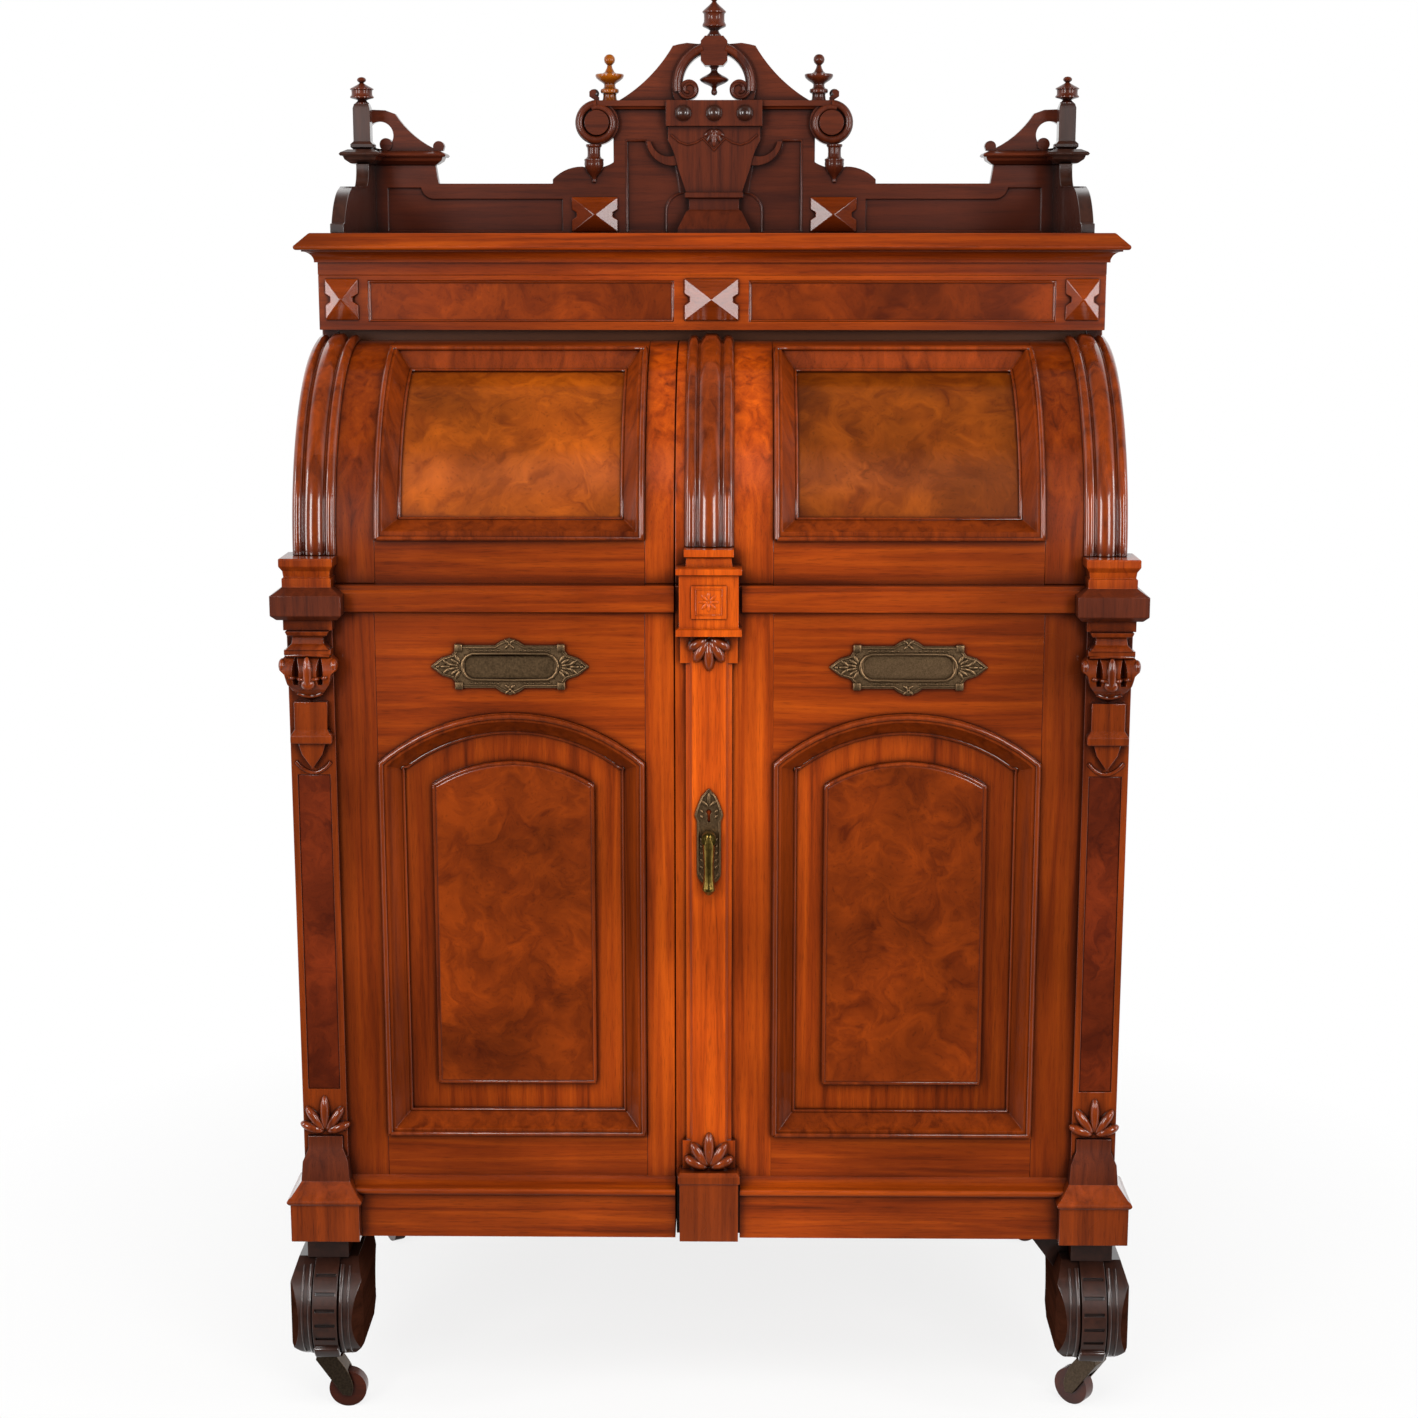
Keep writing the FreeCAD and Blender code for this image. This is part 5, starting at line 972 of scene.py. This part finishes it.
def crest_beads():
    """Round bands and volutes of the crest, the tips of its feet and the fine beads round its fields."""
    wood = carved_walnut("Z")
    low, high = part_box("crest_scroll")
    face = front_of("crest_scroll")
    hoop = low.z + HOOP_UP
    y = face(HOOP_RADIUS - HOOP_INSIDE, hoop)[0].y
    band = spiral(0, y, hoop, (HOOP_RADIUS, HOOP_RADIUS), HOOP_ARC)
    eye = Vector((EYE_OUT, face(EYE_OUT, low.z + EYE_UP)[0].y, low.z + EYE_UP))
    curl = spiral(*eye, CURL_RADII, CURL_ARC)
    beading("crest_bands", "crest_scroll", wood, HOOP_BAND, [band, mirrored(band)])
    beading("crest_curls", "crest_scroll", wood, CURL_BEAD, [curl, mirrored(curl)])
    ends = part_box("gallery_mouldings")[1]
    volute = Vector((VOLUTE_OUT, 0, ends.z - VOLUTE_DOWN))
    y = front_of("gallery_mouldings")(volute.x + VOLUTE_EDGE, volute.z)[0].y
    roll = spiral(volute.x, y, volute.z, ROLL_RADII, ROLL_ARC, 60)
    beading("volute_rolls", "gallery_mouldings", wood, VOLUTE_ROLL, [roll, mirrored(roll)])
    out = high.x - TIP_RADIUS
    tip = Vector((out, face(out, low.z + TIP_UP)[0].y + TIP_BACK, low.z + TIP_UP))
    tips = [(place, (TIP_RADIUS,) * 3, 0.0) for place in (tip, Vector((-tip.x, tip.y, tip.z)))]
    carving("crest_tips", "crest_scroll", stained_walnut("Z"), tips)
    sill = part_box("gallery_boards")[0].z
    y = front_of("gallery_boards")(-FIELD_OUT, sill + FIELD_MIDDLE)[0].y
    head, base = sill + FIELD_TOP, sill + FIELD_FOOT
    upright = [(-FIELD_OUT, y, base), (-FIELD_OUT, y, head), (-FIELD_TURN, y, head)]
    arc = spiral(-ARC_OUT, y, sill + ARC_UP, (ARC_RADIUS, ARC_RADIUS), FIELD_ARC, 16)
    foot = [(-ARC_OUT - ARC_RADIUS, y, base), *arc]
    beading("crest_field_beads", "gallery_boards", wood, CREST_BEAD,
            [upright, mirrored(upright), foot, mirrored(foot)])


# In mm from the shield's middle and foot
COLLAR_WAVE = ((-62, 138), (-50, 128), (-38, 124), (-26, 127), (-16, 133), (0, 116), (16, 133), (26, 127),
               (38, 124), (50, 128), (62, 138))
COLLAR_BEAD = 1.8 * MM
LEAF_UP, LEAF_DEPTH = mm(146, 2.4)


def keystone_relief():
    """Wavy collar and hanging leaf cut on the shield of the crest."""
    wood = carved_walnut("Z")
    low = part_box("crest_keystone")[0]
    face = front_of("crest_keystone")
    collar = [face(x * MM, low.z + z * MM)[0] for x, z in COLLAR_WAVE]
    beading("keystone_collar", "crest_keystone", wood, COLLAR_BEAD, [collar])
    root = face(0, low.z + LEAF_UP)[0]
    carving("keystone_leaf", "crest_keystone", wood, petals(root, LEAF_DEPTH, *KEYSTONE_FAN, down=True))


# Turned profiles: radius and height in mm, from the seat
DRUM_FINIAL = ((0, 0), (9, 0), (9, 2), (7, 4), (5.5, 7), (9, 9), (14, 11), (15, 12), (15, 14), (14, 15.5),
               (13.2, 17), (13, 21), (13.2, 26), (14, 27), (15, 27.8), (15, 29), (13, 31), (8, 35),
               (4, 38.5), (2.6, 40.5), (3.6, 41.6), (5.2, 43.5), (5.8, 46), (5.2, 48.6), (3.4, 50.9),
               (0, 52))
DISC_FINIAL = ((0, 0), (11, 0), (10, 3), (9.4, 8), (10, 10), (12.6, 11), (13.4, 13.6), (12.6, 16.4),
               (9.4, 17.6), (8, 20), (8, 23), (10, 25), (15, 28), (19, 31.5), (20.4, 34.5), (20.2, 36.8),
               (18.6, 37.6), (10, 38.4), (7, 40.5), (4.2, 45.5), (3.2, 49.5), (4.8, 51), (7, 53.4), (8, 57),
               (7.4, 60.6), (5, 63.6), (2.2, 64.8), (0, 65))
MIDDLE_DROP = ((0, 0), (8, 0), (5, -3), (4.5, -6), (6, -9), (11, -12), (17, -15), (20.6, -17.6), (21, -19),
               (19, -21.4), (14, -24.4), (8, -26.8), (4.4, -28.6), (3.2, -31), (3.8, -33), (4.6, -36),
               (3.6, -39.4), (0, -41))
VOLUTE_DROP = ((0, 0), (11, 0), (11.6, -1.6), (11, -3.6), (9.6, -5), (9.2, -10), (9.4, -17), (11, -19.4),
               (14, -21), (14, -23), (13.6, -24), (14, -28), (13, -33), (10.4, -38), (7, -42), (4.6, -45),
               (3, -48), (2.6, -50.5), (3.2, -53), (0, -55))
DRUM_BREADTH = 1.12 * MM
BOSS_TALLEST, BOSS_RADIUS = mm(30, 11.5)
MIDDLE_REACH = 50 * MM


def turned_tops():
    """Finials on the middle block, the crest's cap and the corner posts; one of them is paler."""
    tops, pale = [], []
    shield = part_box("crest_keystone")[1].x
    for low, high in islands("finials"):
        middle = Vector(((low.x + high.x) / 2, (low.y + high.y) / 2, low.z))
        disc = shield < abs(middle.x) < 3 * shield
        profile = DISC_FINIAL if disc else DRUM_FINIAL
        tall = (high.z - low.z) / profile[-1][1]
        broad = tall if disc else DRUM_BREADTH
        (pale if disc and middle.x < 0 else tops).append((middle, profile, (broad, tall)))
    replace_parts(turnings("turned_finials", "finials", carved_walnut("Z"), tops), "finials")
    turnings("pale_finial", "finials", amber_boxwood(), pale)


def hanging_drops():
    """Drops under the middle block and the volutes, and the three polished bosses of the keystone."""
    drops, bosses = [], []
    for low, high in islands("drops_and_bosses"):
        middle = (low + high) / 2
        if high.z - low.z < BOSS_TALLEST:
            radii = (BOSS_RADIUS, high.y - low.y, BOSS_RADIUS)
            bosses.append((Vector((middle.x, high.y, middle.z)), radii, 0.0))
            continue
        profile = MIDDLE_DROP if abs(middle.x) < MIDDLE_REACH else VOLUTE_DROP
        axis = Vector((middle.x, low.y + max(radius for radius, _ in profile) * MM, high.z))
        drops.append((axis, profile, (MM, MM)))
    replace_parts(turnings("turned_drops", "drops_and_bosses", carved_walnut("Z"), drops), "drops_and_bosses")
    carving("keystone_bosses", "drops_and_bosses", stained_walnut("Z"), bosses)


CORNER_REACH = 40 * MM


class DESK_OT_gallery(DeskOperator, bpy.types.Operator):
    """Finishes the gallery, its crest and its finials"""
    bl_idname = "desk.gallery"
    bl_label = "Gallery"

    def execute(self, context):
        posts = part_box("gallery_scrolls")[1].x - CORNER_REACH
        for node in ("gallery_boards", "gallery_mouldings", "gallery_scrolls", "crest_scroll"):
            piece = dress(node, carved_walnut("X"))
            tint(piece, stained_walnut("Z"), lambda face: abs(face.center.x) > posts)
        dress("crest_keystone", carved_walnut("Z"), sizes().fine_round)
        crest_beads()
        keystone_relief()
        turned_tops()
        hanging_drops()
        return {"FINISHED"}


class DESK_OT_inside(DeskOperator, bpy.types.Operator):
    """Finishes the shelves, racks, drawers and fall front"""
    bl_idname = "desk.inside"
    bl_label = "Inside"

    def execute(self, context):
        shelves = dress("case_shelves", inside_walnut("X"))
        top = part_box("cornice")[0].z
        tint(shelves, walnut("X"), lambda face: face.center.z > top)
        dress("case_dividers", inside_walnut("Z"))
        for node in ("left_rack", "right_rack", "drawer_1", "drawer_2", "drawer_3", "drawer_4"):
            dress(node, inside_walnut("X"))
        dress("writing_lid", walnut("X"))
        dress("lid_leather", made_once("writing_leather", writing_leather, colours().leather))
        return {"FINISHED"}


def behind(place):
    """The same place on the rear feet."""
    return Vector((place.x, -place.y, place.z))


# Cuts across the straps: heights and number, margin, half depth and half height; the tongues below them
CUT_FIRST, CUT_STEP, CUT_COUNT = 44, 20, 5
CUT_MARGIN, CUT_DEPTH, CUT_HEIGHT = mm(3, 3.2, 2.2)
TONGUE_UP, TONGUE_OVER, TONGUE_DEPTH, TONGUE_HEIGHT, TONGUE_SOFT = mm(22, 1, 5, 10, 3)
FLANK = 0.8
FOOT_BEAD, FOOT_LINE = mm(3.4, 1.6)
BEAD_ASIDE, LINE_ASIDE = mm(4, 14)
BEAD_HEIGHTS = range(16, 133, 4)


class DESK_OT_feet(DeskOperator, bpy.types.Operator):
    """Finishes the trestle feet, casters and wheels"""
    bl_idname = "desk.feet"
    bl_label = "Feet"

    def execute(self, context):
        s, wood = sizes(), stained_walnut("Y")
        low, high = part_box("trestle_feet")
        face = front_of("trestle_feet")
        strap, cuts, tongues, beads, lines = s.strap_width / 2, [], [], [], []

        def both(x, z, half):
            place, normal = face(x, z)
            turn = math.atan2(-normal.z, -normal.y)
            return [(place, half, turn), (behind(place), half, -turn)]

        for side in (-1, 1):
            middle = side * (high.x - s.foot_width / 2)
            for step in range(CUT_COUNT):
                up = low.z + (CUT_FIRST + CUT_STEP * step) * MM
                cuts += both(middle, up, (strap - CUT_MARGIN, CUT_DEPTH, CUT_HEIGHT))
            tongues += both(middle, low.z + TONGUE_UP, (strap + TONGUE_OVER, TONGUE_DEPTH, TONGUE_HEIGHT))
            for out in (-1, 1):
                for rows, away in ((beads, BEAD_ASIDE), (lines, LINE_ASIDE)):
                    x = middle + out * (strap + away)
                    path = [face(x, low.z + up * MM)[0] for up in BEAD_HEIGHTS]
                    rows += [path, [behind(place) for place in path]]
        feet = dress("trestle_feet", wood, s.fine_round, cuts=cuts)
        tint(feet, dull_walnut(), lambda face: abs(face.normal.x) > FLANK)
        blocks("foot_tongues", "trestle_feet", wood, tongues, TONGUE_SOFT)
        beading("foot_beads", "trestle_feet", wood, FOOT_BEAD, beads)
        beading("foot_lines", "trestle_feet", wood, FOOT_LINE, lines)
        for corner in ("front_left", "front_right", "rear_left", "rear_right"):
            dress(f"caster_{corner}", iron(), s.fine_round)
            rounded(f"wheel_{corner}", carved_walnut("X"))
        return {"FINISHED"}


# In pixels of the photograph: its width, its focal length, and how far from its middle upright lines meet
PHOTO_SIZE, FOCAL, PLUMB = 1418, 2400, 12100
SENSOR_MM = 36


def photo_camera():
    """Camera at the photograph's place, turned and tilted a little towards the middle of the doors."""
    s = sizes()
    camera = add_object("camera", bpy.data.cameras.new("camera"))
    camera.data.sensor_width = SENSOR_MM
    camera.data.lens = SENSOR_MM * FOCAL / PHOTO_SIZE
    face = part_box("left_stiles")[0].y
    camera.location = (s.camera_side, face - s.camera_back, s.camera_height)
    tilt = math.atan(FOCAL / PLUMB)
    camera.rotation_euler = (math.pi / 2 - tilt, 0, math.atan(s.camera_side / s.camera_back))
    bpy.context.scene.camera = camera


LAMP_AIM = (0, 0, 1.0)


def softbox(name, place, width, height, power):
    """Rectangular studio light turned towards the middle of the desk."""
    lamp = bpy.data.lights.new(name, "AREA")
    lamp.shape = "RECTANGLE"
    lamp.size, lamp.size_y = width, height
    lamp.energy = power
    light = add_object(name, lamp)
    light.location = place
    light.rotation_euler = (Vector(LAMP_AIM) - Vector(place)).to_track_quat("-Z", "Y").to_euler()
    return light


# Strength of the surround as light, and as a mirror sees it on the camera's side
GLOW, DIM_ROOM = 0.32, 0.03


def white_surround():
    """White to the camera; a mirror sees white behind and beside the desk, and a dim room before it."""
    world = bpy.data.worlds.new("studio")
    bpy.context.scene.world = world
    world.use_nodes = True
    tree = world.node_tree
    tree.nodes.clear()
    path = add(tree, "LightPath").node.outputs
    seen = add(tree, "Math", {"operation": "MAXIMUM"}, i0=path["Is Camera Ray"],
               i1=path["Is Transmission Ray"])
    toward = add(tree, "SeparateXYZ", i0=add(tree, "TexCoord", out="Generated")).node.outputs
    backdrop = add(tree, "MapRange", {"From Min": -0.48, "From Max": -0.34, "To Min": DIM_ROOM,
                                      "To Max": 1.0}, Value=toward["Y"])
    steep = add(tree, "Math", {"operation": "ABSOLUTE"}, i0=toward["Z"])
    level = add(tree, "MapRange", {"From Min": 0.6, "From Max": 0.85, "To Min": 1.0, "To Max": 0.1},
                Value=steep)
    backdrop = add(tree, "Math", {"operation": "MULTIPLY"}, i0=backdrop, i1=level)
    glow = add(tree, "Mix", {"data_type": "FLOAT", 2: GLOW}, i0=path["Is Glossy Ray"], i3=backdrop)
    strength = add(tree, "Math", {"operation": "MAXIMUM"}, i0=seen, i1=glow)
    light = add(tree, "Background", {"Color": rgba(grey(1.0))}, Strength=strength)
    add(tree, "OutputWorld", Surface=light)


# Seamless paper floor: matt and near white, with the shadow under the desk
def paper_floor(name, tone, radius):
    material, tree, shader, place = new_material(name)
    fit(tree, shader, {"Base Color": rgba(tone), "Roughness": 0.9})
    far = add(tree, "VectorMath", {"operation": "LENGTH"}, out="Value", i0=place)
    fade = add(tree, "MapRange", {"From Min": 0.3 * radius, "From Max": 0.95 * radius, "To Min": 0.8},
               Value=far)
    mixed = add(tree, "MixShader", i0=fade, i1=shader.outputs[0], i2=add(tree, "BsdfTransparent"))
    fit(tree, tree.nodes["Material Output"], Surface=mixed)
    return material


def studio_floor():
    """Round sheet of paper under the desk."""
    radius = sizes().floor_radius
    made = bmesh.new()
    bmesh.ops.create_circle(made, cap_ends=True, segments=96, radius=radius)
    mesh = mesh_of("floor", made, smooth=False)
    mesh.materials.append(made_once("studio_paper", paper_floor, colours().floor, radius))
    add_object("floor", mesh)


# Name, place and size in metres, power in watts
FRONT_LAMPS = (("key", (-1.9, -3.2, 1.9), 0.8, 1.6, 50),
               ("fill", (1.9, -3.2, 1.9), 0.8, 1.6, 47),
               ("left strip", (-2.4, -1.1, 1.6), 0.4, 1.4, 18),
               ("right strip", (2.4, -1.1, 1.6), 0.4, 1.4, 18))
OVER_LAMP = ("over", (0, -2.5, 3.5), 2.2, 1.4, 66)


class DESK_OT_stage(DeskOperator, bpy.types.Operator):
    """Sets the camera, the studio lights and the pale floor"""
    bl_idname = "desk.stage"
    bl_label = "Stage"

    def execute(self, context):
        context.scene.view_settings.view_transform = "Standard"
        photo_camera()
        white_surround()
        studio_floor()
        for lamp in FRONT_LAMPS:
            softbox(*lamp)
        softbox(*OVER_LAMP).visible_glossy = False
        return {"FINISHED"}


class DESK_PT_panel(bpy.types.Panel):
    """Lists the steps that finish the desk"""
    bl_idname = "DESK_PT_panel"
    bl_label = "Secretary desk"
    bl_space_type = "VIEW_3D"
    bl_region_type = "UI"
    bl_category = "Desk"

    def draw(self, context):
        for step in STEPS:
            self.layout.operator(step.bl_idname)
        for group in (context.scene.desk_sizes, context.scene.desk_colours):
            for key in group.bl_rna.properties.keys():
                if key not in ("rna_type", "name"):
                    self.layout.prop(group, key)


STEPS = (DESK_OT_case, DESK_OT_doors, DESK_OT_carvings, DESK_OT_metalwork, DESK_OT_gallery, DESK_OT_inside,
         DESK_OT_feet, DESK_OT_stage)
CLASSES = (DeskSizes, DeskColours, *STEPS, DESK_PT_panel)


def register():
    for cls in CLASSES:
        bpy.utils.register_class(cls)
    bpy.types.Scene.desk_sizes = bpy.props.PointerProperty(type=DeskSizes)
    bpy.types.Scene.desk_colours = bpy.props.PointerProperty(type=DeskColours)


def unregister():
    del bpy.types.Scene.desk_colours
    del bpy.types.Scene.desk_sizes
    for cls in reversed(CLASSES):
        bpy.utils.unregister_class(cls)


def main():
    register()
    bpy.ops.desk.case()
    bpy.ops.desk.doors()
    bpy.ops.desk.carvings()
    bpy.ops.desk.metalwork()
    bpy.ops.desk.gallery()
    bpy.ops.desk.inside()
    bpy.ops.desk.feet()
    bpy.ops.desk.stage()


if __name__ == "__main__":
    main()
